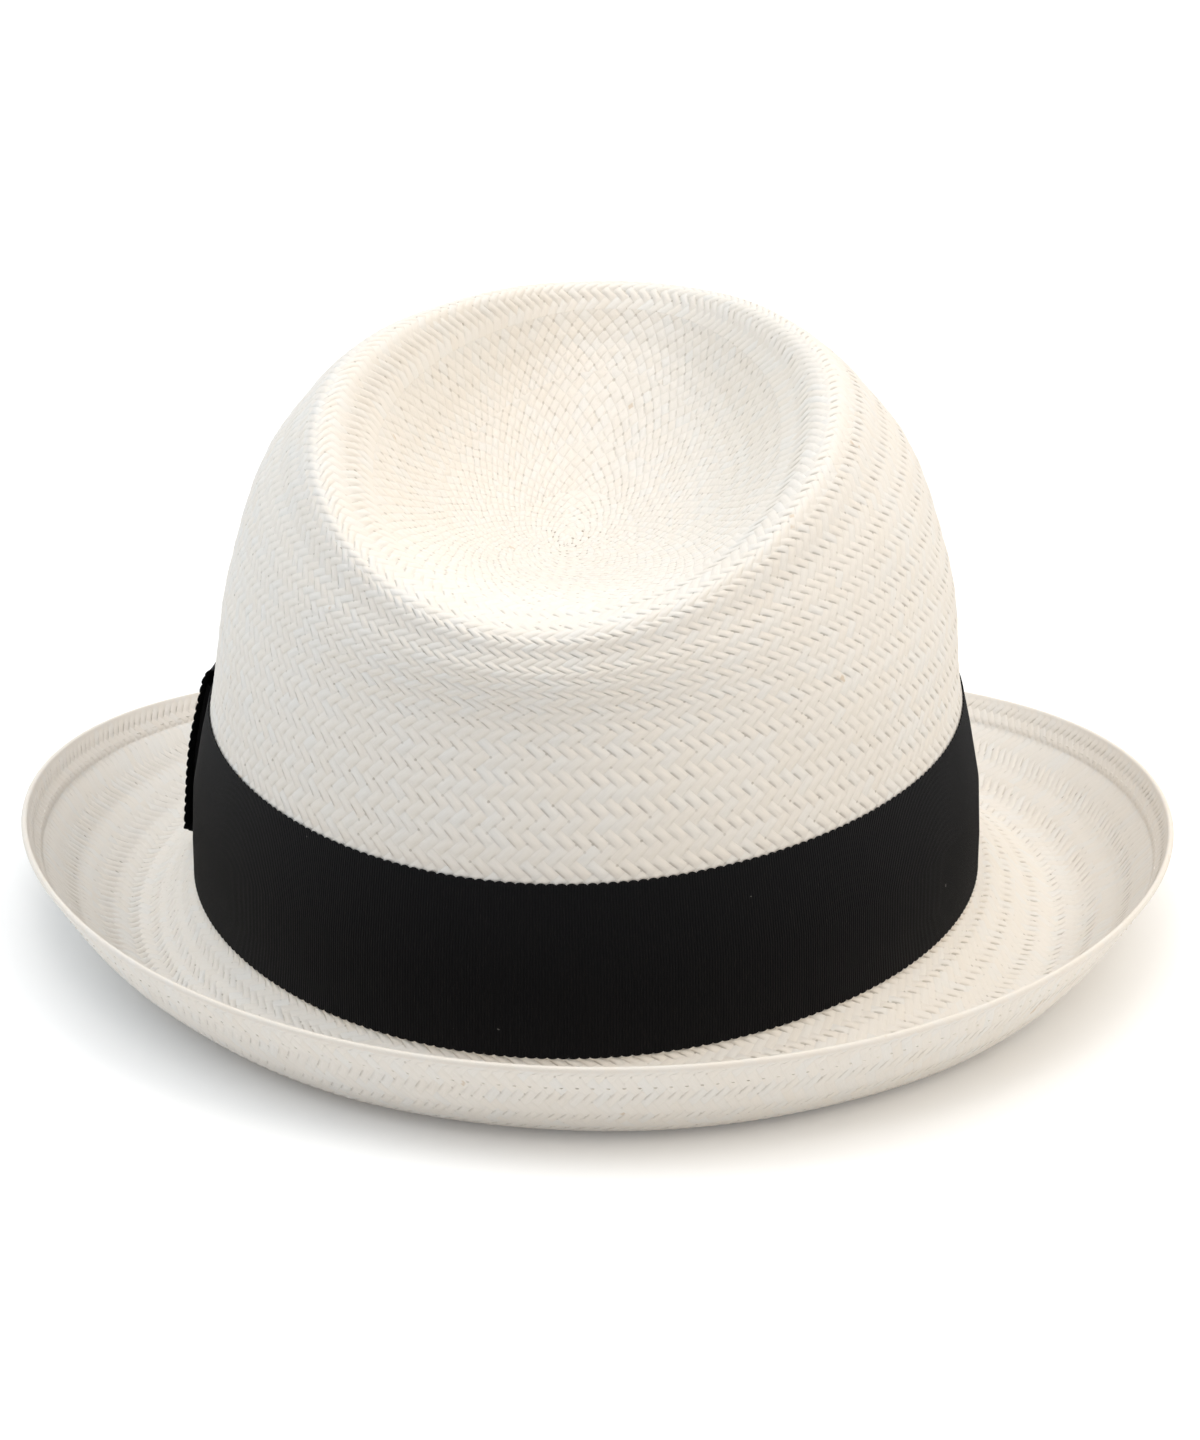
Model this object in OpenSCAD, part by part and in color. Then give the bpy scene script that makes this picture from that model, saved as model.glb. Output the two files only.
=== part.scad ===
// Panama hat: woven straw hood, grosgrain band with a side bow, wired brim edge, sweatband.
// Millimetres. +Z is up, -Y is the front, +X is the wearer's left. Z = 0 is the table the brim rests on.
// The hood is one loft: closed rings are carried from the middle of the tip to the brim edge.
// Every other piece lies on that loft, at an angle, a place along the profile and a depth below or above it.

/* [Head opening] */
// Inner width of the head opening, across the sweatband
head_width = 169.7; // [160:0.1:184]
// Inner length of the head opening, across the sweatband
head_length = 199.2; // [184:0.2:214]
// Share by which the oval is fuller at its four corners
oval_fullness = 0.01; // [0:0.005:0.02]
// Share by which the oval is wider at the back
oval_taper = 0.01; // [0:0.005:0.03]

/* [Straw] */
// Thickness of the woven straw
straw_t = 0.8; // [0.7:0.05:1.4]

/* [Crown] */
// Height of the crown wall where it is half way to the shoulder, above the brim break
wall_height = 70; // [62:1:78]
// Inward lean of the crown wall at that height, at the sides
wall_draft_side = 8; // [4:0.5:12]
// Inward lean of the crown wall at that height, at the front and back
wall_draft_end = 5.5; // [3:0.5:9]
// Height of the shoulder above the brim break
shoulder_height = 95; // [88:0.5:99]
// Half width of the shoulder
shoulder_half_w = 67; // [62:0.5:71]
// Half length of the shoulder
shoulder_half_l = 89.5; // [86:0.5:93]
// Middle height of the ridge round the crease, above the brim break
ridge_height = 106.5; // [102:0.5:110]
// Half width of the ridge
ridge_half_w = 52.5; // [48:0.5:56]
// Half length of the ridge
ridge_half_l = 79.5; // [75:0.5:82]
// Rise of the ridge at the front and drop at the back
ridge_slope = 10.7; // [6:0.1:12]
// Extra height of the ridge at the sides and drop at its ends
ridge_arch = 6.7; // [3:0.1:8]
// Share by which the ridge is wider at the back, the drop shape
ridge_taper = 0.17; // [0:0.01:0.25]
// Inward dent of the two front pinches at the shoulder
pinch_depth = 6; // [0:0.5:9]
// Angle of each pinch from the middle of the front
pinch_angle = 46; // [36:1:56]
// Angular width of each pinch
pinch_width = 22; // [16:1:28]

/* [Crease] */
// Middle height of the crease floor's edge, above the brim break
floor_height = 89.4; // [84:0.2:93]
// Half width of the crease floor
floor_half_w = 34; // [28:0.5:40]
// Half length of the crease floor
floor_half_l = 53; // [44:0.5:58]
// Rise of the floor's edge at the front and drop at the back
floor_slope = 8.6; // [2:0.2:10]
// Share by which the floor is wider at the back
floor_taper = 0.17; // [0:0.01:0.25]
// Height of the middle of the tip, where the weave starts, above the brim break
tip_height = 75.6; // [71:0.2:80]

/* [Brim] */
// Half width of the brim's edge
brim_half_w = 129.3; // [122:0.1:136]
// Half length of the brim's edge
brim_half_l = 142.5; // [136:0.5:150]
// Half width of the brim's lowest line
trough_half_w = 105; // [100:0.5:110]
// Half length of the brim's lowest line
trough_half_l = 121; // [117:0.5:126]
// Depth of the brim's lowest line under the brim break, on the upper side
trough_drop = 10.1; // [7:0.1:12]
// Height of the brim's underside over the table along that line
trough_lift = 0.6; // [0:0.1:1]
// Middle height of the brim's edge above the brim break
edge_height = 5.4; // [4:0.1:8]
// Extra height of the edge at the sides
edge_side_curl = 5.2; // [2:0.1:8]
// Rise of the edge at the back and drop at the front
edge_back_curl = 9.4; // [7:0.1:10]
// Place of the roll between trough and edge, outward
roll_out = 0.5; // [0.45:0.01:0.6]
// Place of the roll between trough and edge, upward
roll_up = 0.34; // [0.26:0.01:0.4]

/* [Hem] */
// Width of the straw folded over on to the upper side of the brim
hem_width = 8; // [6:0.5:11]
// Diameter of the wire inside the folded edge
wire_d = 0.8; // [0.5:0.05:1.2]
// Space round the wire inside the fold
wire_gap = 0.1; // [0.06:0.02:0.2]
// Slit between the two layers of the hem
hem_gap = 0.12; // [0.08:0.02:0.2]

/* [Hat band and bow] */
// Height of the ribbon
ribbon_w = 40; // [30:0.5:42]
// Thickness of the ribbon
ribbon_t = 0.45; // [0.4:0.05:0.7]
// Space between two layers of ribbon, and between ribbon and straw
ribbon_gap = 0.08; // [0.06:0.02:0.2]
// Angle of the bow's keeper, forward of the wearer's left side
bow_angle = 4; // [-10:1:30]
// Width of the keeper
keeper_w = 22; // [16:1:28]
// Length of the bow's loop, forward of the keeper's middle
loop_l = 50; // [40:1:60]
// Length of the bow's tail, forward of the keeper's middle
tail_l = 66; // [56:1:76]
// Depth of the V cut into the tail
tail_cut = 10; // [4:1:14]
// Room inside the loop's fold
loop_room = 0.8; // [0.4:0.1:1.6]

/* [Sweatband] */
// Height of the sweatband
sweat_w = 34; // [28:1:38]
// Thickness of the sweatband
sweat_t = 0.9; // [0.6:0.1:1.4]
// Space between the sweatband and the straw
sweat_gap = 0.15; // [0.1:0.05:0.3]
// Diameter of the reed along the sweatband's lower edge
reed_d = 1.6; // [1:0.1:2]
// Gap between the sweatband's two ends at the back
sweat_seam = 0.4; // [0.2:0.1:1]

/* [Smoothness] */
// Number of steps round the hat
round_steps = 64; // [48:4:72]

/* [Hidden] */

straw_c = [0.95, 0.92, 0.86];
ribbon_c = [0.05, 0.05, 0.055];
sweat_c = [0.80, 0.70, 0.56];
reed_c = [0.88, 0.86, 0.80];
wire_c = [0.75, 0.74, 0.70];

// The brim break: outer half width and half length of the straw there, and its height over the table
break_half_w = head_width / 2 + sweat_t + sweat_gap + straw_t;
break_half_l = head_length / 2 + sweat_t + sweat_gap + straw_t;
break_height = trough_drop + straw_t + trough_lift;
break_inset = 3;

// The crown stands on the brim with a slight tilt back and to the wearer's left
crown_tilt = 2.5;
crown_lean = 1.2;
crown_shift = [1.8, 5];

// Middles of the crown's rings, across and along, before the tilt
tip_at = [4.4, 4.8];
floor_at = [2.2, -8];
ridge_at = 4.4;
shoulder_at = 2.1;
mid_wall_at = -1.5;
// The dish inside the floor's edge: its share of the way out and of the way up from the tip
dish_out = 0.45;
dish_up = 0.2;
// Share of the ridge's slope and arch that the shoulder follows, and the pinches' share of each ring's size
shoulder_slope = 0.65;
shoulder_arch = 0.63;
pinch_at_ridge = 0.0067;
pinch_at_shoulder = 0.0135;
// Lean of the wall between the brim break and the top of the band, at the sides and at the ends
band_lean_side = 4.7;
band_lean_end = 0.6;
// Shares of that lean at the two rings between them, so that the wall stands upright at its foot
lean_mid = 0.14;
lean_foot = 0.01;
// Drop of the straw just outside the break, and the middle of the brim's lowest line
break_drop = 2.5;
trough_at = [-1.3, 5];
// Small unevenness of the hand-rolled edge: lower on the wearer's left, a twist, and two slow waves
edge_sway = 2.8;
edge_twist = 1.7;
edge_wave_side = 0.6;
edge_wave_back = 0.75;

// Profile distances at which the rings lie, from the middle of the tip to the brim's edge
knots = [0, 25, 50, 68, 84, 112, 142, 162, 177, 182, 188, 208, 221, 234];
v_band_top = knots[6];
v_break = knots[9];
v_edge = knots[13];
// Rows of the hood between two rings
row_steps = [2, 2, 3, 3, 2, 2, 1, 1, 1, 1, 2, 2, 2];
turn_steps = 4;

// ---- the loft ----

// A point turned with the crown's tilt and lean, set at its place over the brim
function crown_point(x, y, h) =
    let (y1 = y * cos(crown_tilt) + h * sin(crown_tilt),
         z1 = h * cos(crown_tilt) - y * sin(crown_tilt))
    [x * cos(crown_lean) + z1 * sin(crown_lean) + crown_shift[0],
     y1 + crown_shift[1],
     z1 * cos(crown_lean) - x * sin(crown_lean) + break_height];

// A bell curve over the angle a, one at c degrees, w wide
function bell(a, c, w) =
    let (d = (a - c + 540) % 360 - 180)
    exp(-d * d / (w * w));
function pinches(a) = bell(a, 270 - pinch_angle, pinch_width) + bell(a, 270 + pinch_angle, pinch_width);

// The head's oval at angle a
function head_oval(a, half_w, half_l) =
    let (full = 1 + oval_fullness * cos(4 * a))
    [half_w * cos(a) * full * (1 + oval_taper * sin(a)), half_l * sin(a) * full];

// A ring of the wall under the band, with a share of the band's lean, at profile distance v
wall_rate = (v_break - v_band_top) / (ribbon_w + 1);
function band_ring(a, lean, v) =
    let (p = head_oval(a, break_half_w - lean * band_lean_side, break_half_l - lean * band_lean_end))
    crown_point(p[0], p[1], (v_break - v) / wall_rate);

// The rings' points at angle a: 0 is the wearer's left, 90 the back, 270 the front
function rings(a) =
    let (c = cos(a), s = sin(a), c2 = cos(2 * a), dent = pinches(a),
         tip = crown_point(tip_at[0], tip_at[1], tip_height),
         floor_edge = crown_point(floor_at[0] + floor_half_w * c * (1 + floor_taper * s),
                                  floor_at[1] + floor_half_l * s, floor_height - floor_slope * s),
         dish = [tip[0] + dish_out * (floor_edge[0] - tip[0]), tip[1] + dish_out * (floor_edge[1] - tip[1]),
                 tip[2] + dish_up * (floor_edge[2] - tip[2])],
         kr = 1 - pinch_at_ridge * pinch_depth * dent,
         ks = 1 - pinch_at_shoulder * pinch_depth * dent)
    [tip,
     dish,
     floor_edge,
     crown_point(ridge_half_w * c * (1 + ridge_taper * s) * kr, ridge_at + ridge_half_l * s * kr,
                 ridge_height - ridge_slope * s + ridge_arch * c2),
     crown_point(shoulder_half_w * c * ks, shoulder_at + shoulder_half_l * s * ks,
                 shoulder_height - ridge_slope * shoulder_slope * s + ridge_arch * shoulder_arch * c2),
     crown_point((break_half_w - wall_draft_side) * c, (break_half_l - wall_draft_end) * s + mid_wall_at,
                 wall_height),
     band_ring(a, 1, v_band_top),
     band_ring(a, lean_mid, knots[7]),
     band_ring(a, lean_foot, knots[8]),
     band_ring(a, 0, v_break),
     crown_point((break_half_w + break_inset) * c, (break_half_l + break_inset) * s, -break_drop),
     trough_point(a),
     roll_point(a),
     edge_point(a)];

function trough_point(a) =
    [trough_at[0] + trough_half_w * cos(a), trough_at[1] + trough_half_l * sin(a), break_height - trough_drop];

// The brim's edge: curled up at the sides and back, snapped down at the front
function edge_point(a) =
    [brim_half_w * cos(a), brim_half_l * sin(a),
     break_height + edge_height + edge_side_curl * cos(2 * a) + edge_back_curl * sin(a)
     - edge_sway * cos(a) + edge_twist * sin(2 * a)
     + edge_wave_side * cos(3 * a) - edge_wave_back * sin(3 * a)];
function roll_point(a) =
    let (e = edge_point(a), g = trough_point(a))
    [g[0] + (e[0] - g[0]) * roll_out, g[1] + (e[1] - g[1]) * roll_out, g[2] + (e[2] - g[2]) * roll_up];

// Slope of the profile at ring k, from its two neighbours
function slope(r, k) =
    k == 0 ? (r[1] - r[0]) / (knots[1] - knots[0]) :
    k == len(r) - 1 ? (r[k] - r[k - 1]) / (knots[k] - knots[k - 1]) :
    let (h0 = knots[k] - knots[k - 1], h1 = knots[k + 1] - knots[k])
    ((r[k] - r[k - 1]) * h1 / h0 + (r[k + 1] - r[k]) * h0 / h1) / (h0 + h1);

// The stretch of the profile that holds v
function stretch(v, k = 0) = (k >= len(knots) - 2 || v < knots[k + 1]) ? k : stretch(v, k + 1);

// The hood's upper surface at angle a and profile distance v: a cubic curve through the rings
function hood(a, v) =
    let (r = rings(a), k = stretch(v), h = knots[k + 1] - knots[k], u = (v - knots[k]) / h)
    (2 * u * u * u - 3 * u * u + 1) * r[k] + (u * u * u - 2 * u * u + u) * h * slope(r, k)
    + (3 * u * u - 2 * u * u * u) * r[k + 1] + (u * u * u - u * u) * h * slope(r, k + 1);

// The hood's upward and outward normal
function hood_normal(a, v) =
    let (e = min(v, v_edge - 0.5),
         n = cross(hood(a + 0.5, e) - hood(a - 0.5, e), hood(a, e + 0.5) - hood(a, e - 0.5)))
    -n / norm(n);

// A point lying d over the hood's upper surface
function over(a, v, d) = hood(a, v) + d * hood_normal(a, v);

// ---- sheets ----

// A sheet between two grids of points, front and back, with rows along its length.
// around joins the last column to the first; along joins the last row to the first.
// tip closes the first row to a point. The first swap rows are split along their other diagonal.
module sheet(front, back, around = false, along = false, tip = false, swap = 0) {
    n = len(front);
    m = len(front[0]);
    q = n * m;
    cols = around ? m : m - 1;
    rows = along ? n : n - 1;
    points = concat([for (r = front) each r], [for (r = back) each r]);
    skin = [for (i = [0 : rows - 1], j = [0 : cols - 1])
        let (a = i * m + j, b = i * m + (j + 1) % m, k = (i + 1) % n, c = k * m + (j + 1) % m, d = k * m + j)
        each (tip && i == 0)
            ? [[0, c, d], [q, q + d, q + c]]
            : i < swap
            ? [[a, b, d], [b, c, d], [q + a, q + d, q + b], [q + b, q + d, q + c]]
            : [[a, b, c], [a, c, d], [q + a, q + c, q + b], [q + a, q + d, q + c]]];
    first = (along || tip) ? [] : [for (j = [0 : cols - 1]) let (b = (j + 1) % m)
        each [[j, q + j, q + b], [j, q + b, b]]];
    last = along ? [] : [for (j = [0 : cols - 1]) let (a = (n - 1) * m + j, b = (n - 1) * m + (j + 1) % m)
        each [[a, b, q + b], [a, q + b, q + a]]];
    sides = around ? [] : [for (i = [0 : rows - 1]) let (c = i * m, d = ((i + 1) % n) * m)
        each [[c, d, q + d], [c, q + d, q + c],
              [c + m - 1, q + d + m - 1, d + m - 1], [c + m - 1, q + c + m - 1, q + d + m - 1]]];
    polyhedron(points, concat(skin, first, last, sides));
}

angles = [for (i = [0 : round_steps - 1]) 360 * i / round_steps];

// ---- the hem ----

// Profile distance that lies s millimetres inward from the brim's edge
function edge_v(a, s) =
    let (speed = norm(hood(a, v_edge) - hood(a, v_edge - 6)) / 6)
    v_edge - s / speed;
function hem_point(a, s, d) = over(a, edge_v(a, s), d);

turn_r = wire_d / 2 + wire_gap;
turn_in = turn_r + straw_t;
hem_lead = 2.4;
hem_start = 0.7 * hem_width;

// [distance from the edge, height over the brim] of the two faces of the straw round the fold
hem_inside = concat(
    [for (i = [0 : turn_steps]) let (f = -90 + 180 * i / turn_steps)
        [turn_in - turn_r * cos(f), turn_r + turn_r * sin(f)]],
    [[turn_in + hem_lead, hem_gap], [hem_start, hem_gap], [hem_width, hem_gap]]);
hem_outside = concat(
    [for (i = [0 : turn_steps]) let (f = -90 + 180 * i / turn_steps)
        [turn_in - (turn_r + straw_t) * cos(f), turn_r + (turn_r + straw_t) * sin(f)]],
    [[turn_in + hem_lead, hem_gap + straw_t], [hem_start, hem_gap + straw_t], [hem_width, hem_gap + straw_t]]);

// Profile distances of the hood's rows, up to the start of the fold
hood_rows = [for (k = [0 : len(row_steps) - 1], i = [0 : row_steps[k] - 1])
    knots[k] + (knots[k + 1] - knots[k]) * i / row_steps[k]];
plain_rows = [for (v = hood_rows) if (v < v_edge - hem_start) v];

module straw_hood() {
    front = concat(
        [for (v = plain_rows) [for (a = angles) hood(a, v)]],
        [for (p = hem_inside) [for (a = angles) hem_point(a, p[0], p[1])]]);
    back = concat(
        [for (v = plain_rows) [for (a = angles) v == 0 ? hood(0, 0) - [0, 0, straw_t] : over(a, v, -straw_t)]],
        [for (p = hem_outside) [for (a = angles) hem_point(a, p[0], p[1])]]);
    color(straw_c) sheet(front, back, around = true, tip = true);
}

// A closed tube through a list of rings of points, joined both ways
module tube(loops) {
    n = len(loops);
    m = len(loops[0]);
    polyhedron([for (r = loops) each r],
        [for (i = [0 : n - 1], j = [0 : m - 1])
            let (k = (i + 1) % n, l = (j + 1) % m,
                 a = i * m + j, b = i * m + l, c = k * m + l, d = k * m + j)
            each [[a, b, c], [a, c, d]]]);
}

module brim_wire() {
    sides = 6;
    color(wire_c) tube([for (a = angles) [for (i = [0 : sides - 1]) let (f = 360 * i / sides)
        hem_point(a, turn_in - wire_d / 2 * cos(f), turn_r + wire_d / 2 * sin(f))]]);
}

// ---- band, bow and sweatband, on the crown's wall ----

// Profile distance at height h above the brim break, on the wall under the band
function wall_v(h) = v_break - h * wall_rate;

// What lies on the straw follows the straw's own flat facets, so that the gap to it is the same everywhere.
// The row of the hood at or before v
function row_at(v, k = 0) = (k >= len(hood_rows) - 2 || v < hood_rows[k + 1]) ? k : row_at(v, k + 1);
function between(p, q, u) = p * (1 - u) + q * u;
function on_rows(a, v, d) =
    let (k = row_at(v), v0 = hood_rows[k], v1 = hood_rows[k + 1])
    between(over(a, v0, d), over(a, v1, d), (v - v0) / (v1 - v0));
function wall_point(a, h, d) =
    let (step = 360 / round_steps, i = floor(a / step))
    between(on_rows(i * step, wall_v(h), d), on_rows((i + 1) * step, wall_v(h), d), a / step - i);

// Angles from a0 up to a1, with every angle of the hood's facets between them
function facet_angles(a0, a1) =
    let (step = 360 / round_steps, i0 = floor(a0 / step + 0.1) + 1, i1 = ceil(a1 / step - 0.1) - 1)
    concat([a0], [for (i = [i0 : 1 : i1]) i * step], [a1]);

// Heights from h1 down to h0, with every row of the hood between them
function facet_heights(h0, h1) =
    let (inner = [for (v = hood_rows) (v_break - v) / wall_rate])
    concat([h1], [for (h = inner) if (h > h0 + 0.2 && h < h1 - 0.2) h], [h0]);

// Angle that lies s millimetres forward of the bow's keeper, round the band
function bow_a(s) = -bow_angle - s * 180 / (PI * break_half_l);

// Heights of the ribbon's rows, from its upper to its lower selvedge
band_foot = 0.3;
function ribbon_rows(trim) = facet_heights(band_foot + trim, ribbon_w - trim);
layer = ribbon_t + ribbon_gap;

module hat_band() {
    // The two ends meet under the bow
    meet = 0.4;
    cols = facet_angles(meet - bow_angle, 360 - meet - bow_angle);
    function face(d) = [for (h = ribbon_rows(0)) [for (a = cols) wall_point(a, h, d)]];
    color(ribbon_c) sheet(face(layer), face(ribbon_gap));
}

// The bow's layers, counted outward from the straw: band, keeper's back, tail, loop's back, loop's front,
// keeper's front
function layer_d(k) = ribbon_gap + k * layer;
bow_trim = 0.9;
bow_back = keeper_w / 2 - 1.5;

module bow_tail() {
    // Cut to a V at its front end
    heights = ribbon_rows(bow_trim);
    top = heights[0];
    foot = heights[len(heights) - 1];
    function end_s(h) = tail_l - tail_cut * (1 - abs(2 * h - top - foot) / (top - foot));
    plain = facet_angles(bow_a(tail_l - tail_cut - 1), bow_a(-bow_back));
    function face(d) = concat(
        [[for (h = heights) wall_point(bow_a(end_s(h)), h, d)]],
        [for (a = plain) [for (h = heights) wall_point(a, h, d)]]);
    color(ribbon_c) sheet(face(layer_d(2)), face(layer_d(2) + ribbon_t));
}

module bow_loop() {
    // The ribbon runs forward on the tail, turns back over a soft fold and ends under the keeper
    turn = 6;
    start = layer_d(3);
    fold_r = (loop_room + ribbon_gap) / 2;
    fold_s = loop_l - fold_r - ribbon_t;
    function swell(a) =
        let (u = max(0, min(1, (bow_a(keeper_w / 2) - a) / (bow_a(keeper_w / 2) - bow_a(fold_s)))))
        loop_room * u * u * (3 - 2 * u);
    plain = facet_angles(bow_a(fold_s), bow_a(-bow_back));
    last = len(plain) - 1;
    // [angle, depth] of one face: e is 0 for the inner and the ribbon's thickness for the outer face
    function path(e) = concat(
        [for (i = [last : -1 : 0]) [plain[i], start + ribbon_t - e]],
        [for (i = [1 : turn - 1]) let (f = -90 + 180 * i / turn)
            [bow_a(fold_s + (fold_r + e) * cos(f)), start + ribbon_t + fold_r + (fold_r + e) * sin(f)]],
        [for (i = [0 : last]) [plain[i], start + layer + swell(plain[i]) + e]]);
    function face(e) = [for (p = path(e)) [for (h = ribbon_rows(bow_trim)) wall_point(p[0], h, p[1])]];
    color(ribbon_c) sheet(face(0), face(ribbon_t), swap = last);
}

module bow_keeper() {
    // A closed wrap of ribbon, upright round the tail and the loop; it stands off a little more at its foot
    stand_off = 0.6;
    foot_h = band_foot;
    head_h = ribbon_w + 0.3;
    inside = facet_heights(foot_h + bow_trim * 0.7, head_h - bow_trim * 0.7);
    last = len(inside) - 1;
    function front(h) = layer_d(5) + stand_off * (head_h - h) / (head_h - foot_h);
    // [height, depth] of one face, down the back and up the front
    function outer_h(i) = i == 0 ? head_h : i == last ? foot_h : inside[i];
    inner = concat(
        [for (i = [0 : last]) [inside[i], layer_d(1) + ribbon_t]],
        [for (i = [last : -1 : 0]) [inside[i], front(inside[i])]]);
    outer = concat(
        [for (i = [0 : last]) [outer_h(i), layer_d(1)]],
        [for (i = [last : -1 : 0]) [outer_h(i), front(inside[i]) + ribbon_t]]);
    cols = facet_angles(bow_a(keeper_w / 2), bow_a(-keeper_w / 2));
    function face(path) = [for (p = path) [for (a = cols) wall_point(a, p[0], p[1])]];
    color(ribbon_c) sheet(face(inner), face(outer), along = true);
}

// ---- sweatband ----

sweat_foot = 0.5;
sweat_d = -(straw_t + sweat_gap);

module sweatband() {
    // Its ends meet at the back
    half_seam = sweat_seam / 2 * 180 / (PI * break_half_w);
    cols = facet_angles(90 + half_seam, 450 - half_seam);
    function face(d) = [for (h = facet_heights(sweat_foot, sweat_w)) [for (a = cols) wall_point(a, h, d)]];
    color(sweat_c) sheet(face(sweat_d), face(sweat_d - sweat_t));
}

module sweatband_reed() {
    sides = 6;
    reed_h = sweat_foot - sweat_gap - reed_d / 2;
    reed_at = sweat_d - reed_d / 2;
    color(reed_c) tube([for (a = angles) [for (i = [0 : sides - 1]) let (f = 360 * i / sides)
        wall_point(a, reed_h - reed_d / 2 * cos(f), reed_at + reed_d / 2 * sin(f))]]);
}

straw_hood();
brim_wire();
hat_band();
bow_tail();
bow_loop();
bow_keeper();
sweatband();
sweatband_reed();
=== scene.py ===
"""Panama hat: woven straw hood in rings, grosgrain band and bow, sweatband with its reed and stitches."""
import math
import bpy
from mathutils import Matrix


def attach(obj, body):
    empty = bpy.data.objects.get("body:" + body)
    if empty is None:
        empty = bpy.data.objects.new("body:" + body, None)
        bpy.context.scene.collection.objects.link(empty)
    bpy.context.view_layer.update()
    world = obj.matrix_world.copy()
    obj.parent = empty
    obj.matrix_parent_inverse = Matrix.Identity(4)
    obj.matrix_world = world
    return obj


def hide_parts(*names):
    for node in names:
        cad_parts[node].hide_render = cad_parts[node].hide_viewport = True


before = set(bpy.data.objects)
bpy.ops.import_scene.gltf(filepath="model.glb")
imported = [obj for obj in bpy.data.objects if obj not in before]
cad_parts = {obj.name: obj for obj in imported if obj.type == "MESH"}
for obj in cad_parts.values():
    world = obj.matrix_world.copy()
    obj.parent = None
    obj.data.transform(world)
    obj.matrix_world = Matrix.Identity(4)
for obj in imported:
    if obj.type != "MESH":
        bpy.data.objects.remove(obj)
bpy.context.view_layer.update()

import bmesh
import bpy
import numpy as np
from mathutils import Matrix, Vector

MM = 0.001
TAU = 2 * math.pi
scene = bpy.context.scene
scene.view_settings.view_transform = "Standard"

# ---- the hat's loft, in millimetres: the source's named values, but for a thinner ribbon ----

HEAD_W, HEAD_L, FULLNESS, TAPER = 169.7, 199.2, 0.01, 0.01
STRAW_T = 0.8
WALL_H, DRAFT_SIDE, DRAFT_END = 70, 8, 5.5
SHOULDER_H, SHOULDER_W, SHOULDER_L = 95, 67, 89.5
RIDGE_H, RIDGE_W, RIDGE_L, RIDGE_SLOPE, RIDGE_ARCH, RIDGE_TAPER = 106.5, 52.5, 79.5, 10.7, 6.7, 0.17
PINCH_DEPTH, PINCH_AT, PINCH_W = 6, 46, 22
FLOOR_H, FLOOR_W, FLOOR_L, FLOOR_SLOPE, FLOOR_TAPER, TIP_H = 89.4, 34, 53, 8.6, 0.17, 75.6
BRIM_W, BRIM_L, TROUGH_W, TROUGH_L, TROUGH_DROP, TROUGH_LIFT = 129.3, 142.5, 105, 121, 10.1, 0.6
EDGE_H, SIDE_CURL, BACK_CURL, ROLL_OUT, ROLL_UP = 5.4, 5.2, 9.4, 0.5, 0.34
EDGE_SWAY, EDGE_TWIST, EDGE_WAVE_SIDE, EDGE_WAVE_BACK = 2.8, 1.7, 0.6, 0.75
HEM_W, WIRE_D, WIRE_GAP = 8, 0.8, 0.1
RIBBON_W, RIBBON_T, RIBBON_GAP = 40, 0.38, 0.06
BOW_ANGLE, KEEPER_W, LOOP_L, TAIL_L, TAIL_CUT = 4, 22, 50, 66, 10
BAND_FOOT, LEAN_SIDE, LEAN_END, LEAN_MID, LEAN_FOOT = 0.3, 4.7, 0.6, 0.14, 0.01
SWEAT_W, SWEAT_T, SWEAT_GAP, REED_D = 34, 0.9, 0.15, 1.6
TIP_AT, FLOOR_AT, RIDGE_AT, SHOULDER_AT, MID_WALL_AT = (4.4, 4.8), (2.2, -8), 4.4, 2.1, -1.5
DISH_OUT, DISH_UP, BREAK_INSET, BREAK_DROP = 0.45, 0.2, 3, 2.5
SHOULDER_SLOPE, SHOULDER_ARCH, RIDGE_PINCH, SHOULDER_PINCH = 0.65, 0.63, 0.0067, 0.0135
TILT, LEAN, SHIFT, TROUGH_AT = math.radians(2.5), math.radians(1.2), (1.8, 5), (-1.3, 5)
BREAK_W = HEAD_W / 2 + SWEAT_T + SWEAT_GAP + STRAW_T
BREAK_L = HEAD_L / 2 + SWEAT_T + SWEAT_GAP + STRAW_T
BREAK_H = TROUGH_DROP + STRAW_T + TROUGH_LIFT
KNOTS = np.array([0, 25, 50, 68, 84, 112, 142, 162, 177, 182, 188, 208, 221, 234], float)
V_BAND_TOP, V_BREAK, V_EDGE = 142, 182, 234
WALL_RATE = (V_BREAK - V_BAND_TOP) / (RIBBON_W + 1)


def point(x, y, z):
    """Coordinates brought to one shape and set side by side."""
    return np.stack(np.broadcast_arrays(x, y, z), -1)


def crown_point(x, y, h):
    """The point tilted back and leant to the side about the brim break, then moved to its place."""
    y1 = y * math.cos(TILT) + h * math.sin(TILT)
    z1 = h * math.cos(TILT) - y * math.sin(TILT)
    return point(x * math.cos(LEAN) + z1 * math.sin(LEAN) + SHIFT[0], y1 + SHIFT[1],
                 z1 * math.cos(LEAN) - x * math.sin(LEAN) + BREAK_H)


def bell(a, c):
    """A bell curve over the angle, one at c degrees."""
    return np.exp(-(((a - c + 180) % 360 - 180) / PINCH_W) ** 2)


def band_ring(a, share, v):
    """A ring of the wall under the band: the head's oval, leaning in by a share of the band's lean."""
    t = np.radians(a)
    full = 1 + FULLNESS * np.cos(4 * t)
    return crown_point((BREAK_W - share * LEAN_SIDE) * np.cos(t) * full * (1 + TAPER * np.sin(t)),
                       (BREAK_L - share * LEAN_END) * np.sin(t) * full, (V_BREAK - v) / WALL_RATE + 0 * t)


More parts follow.
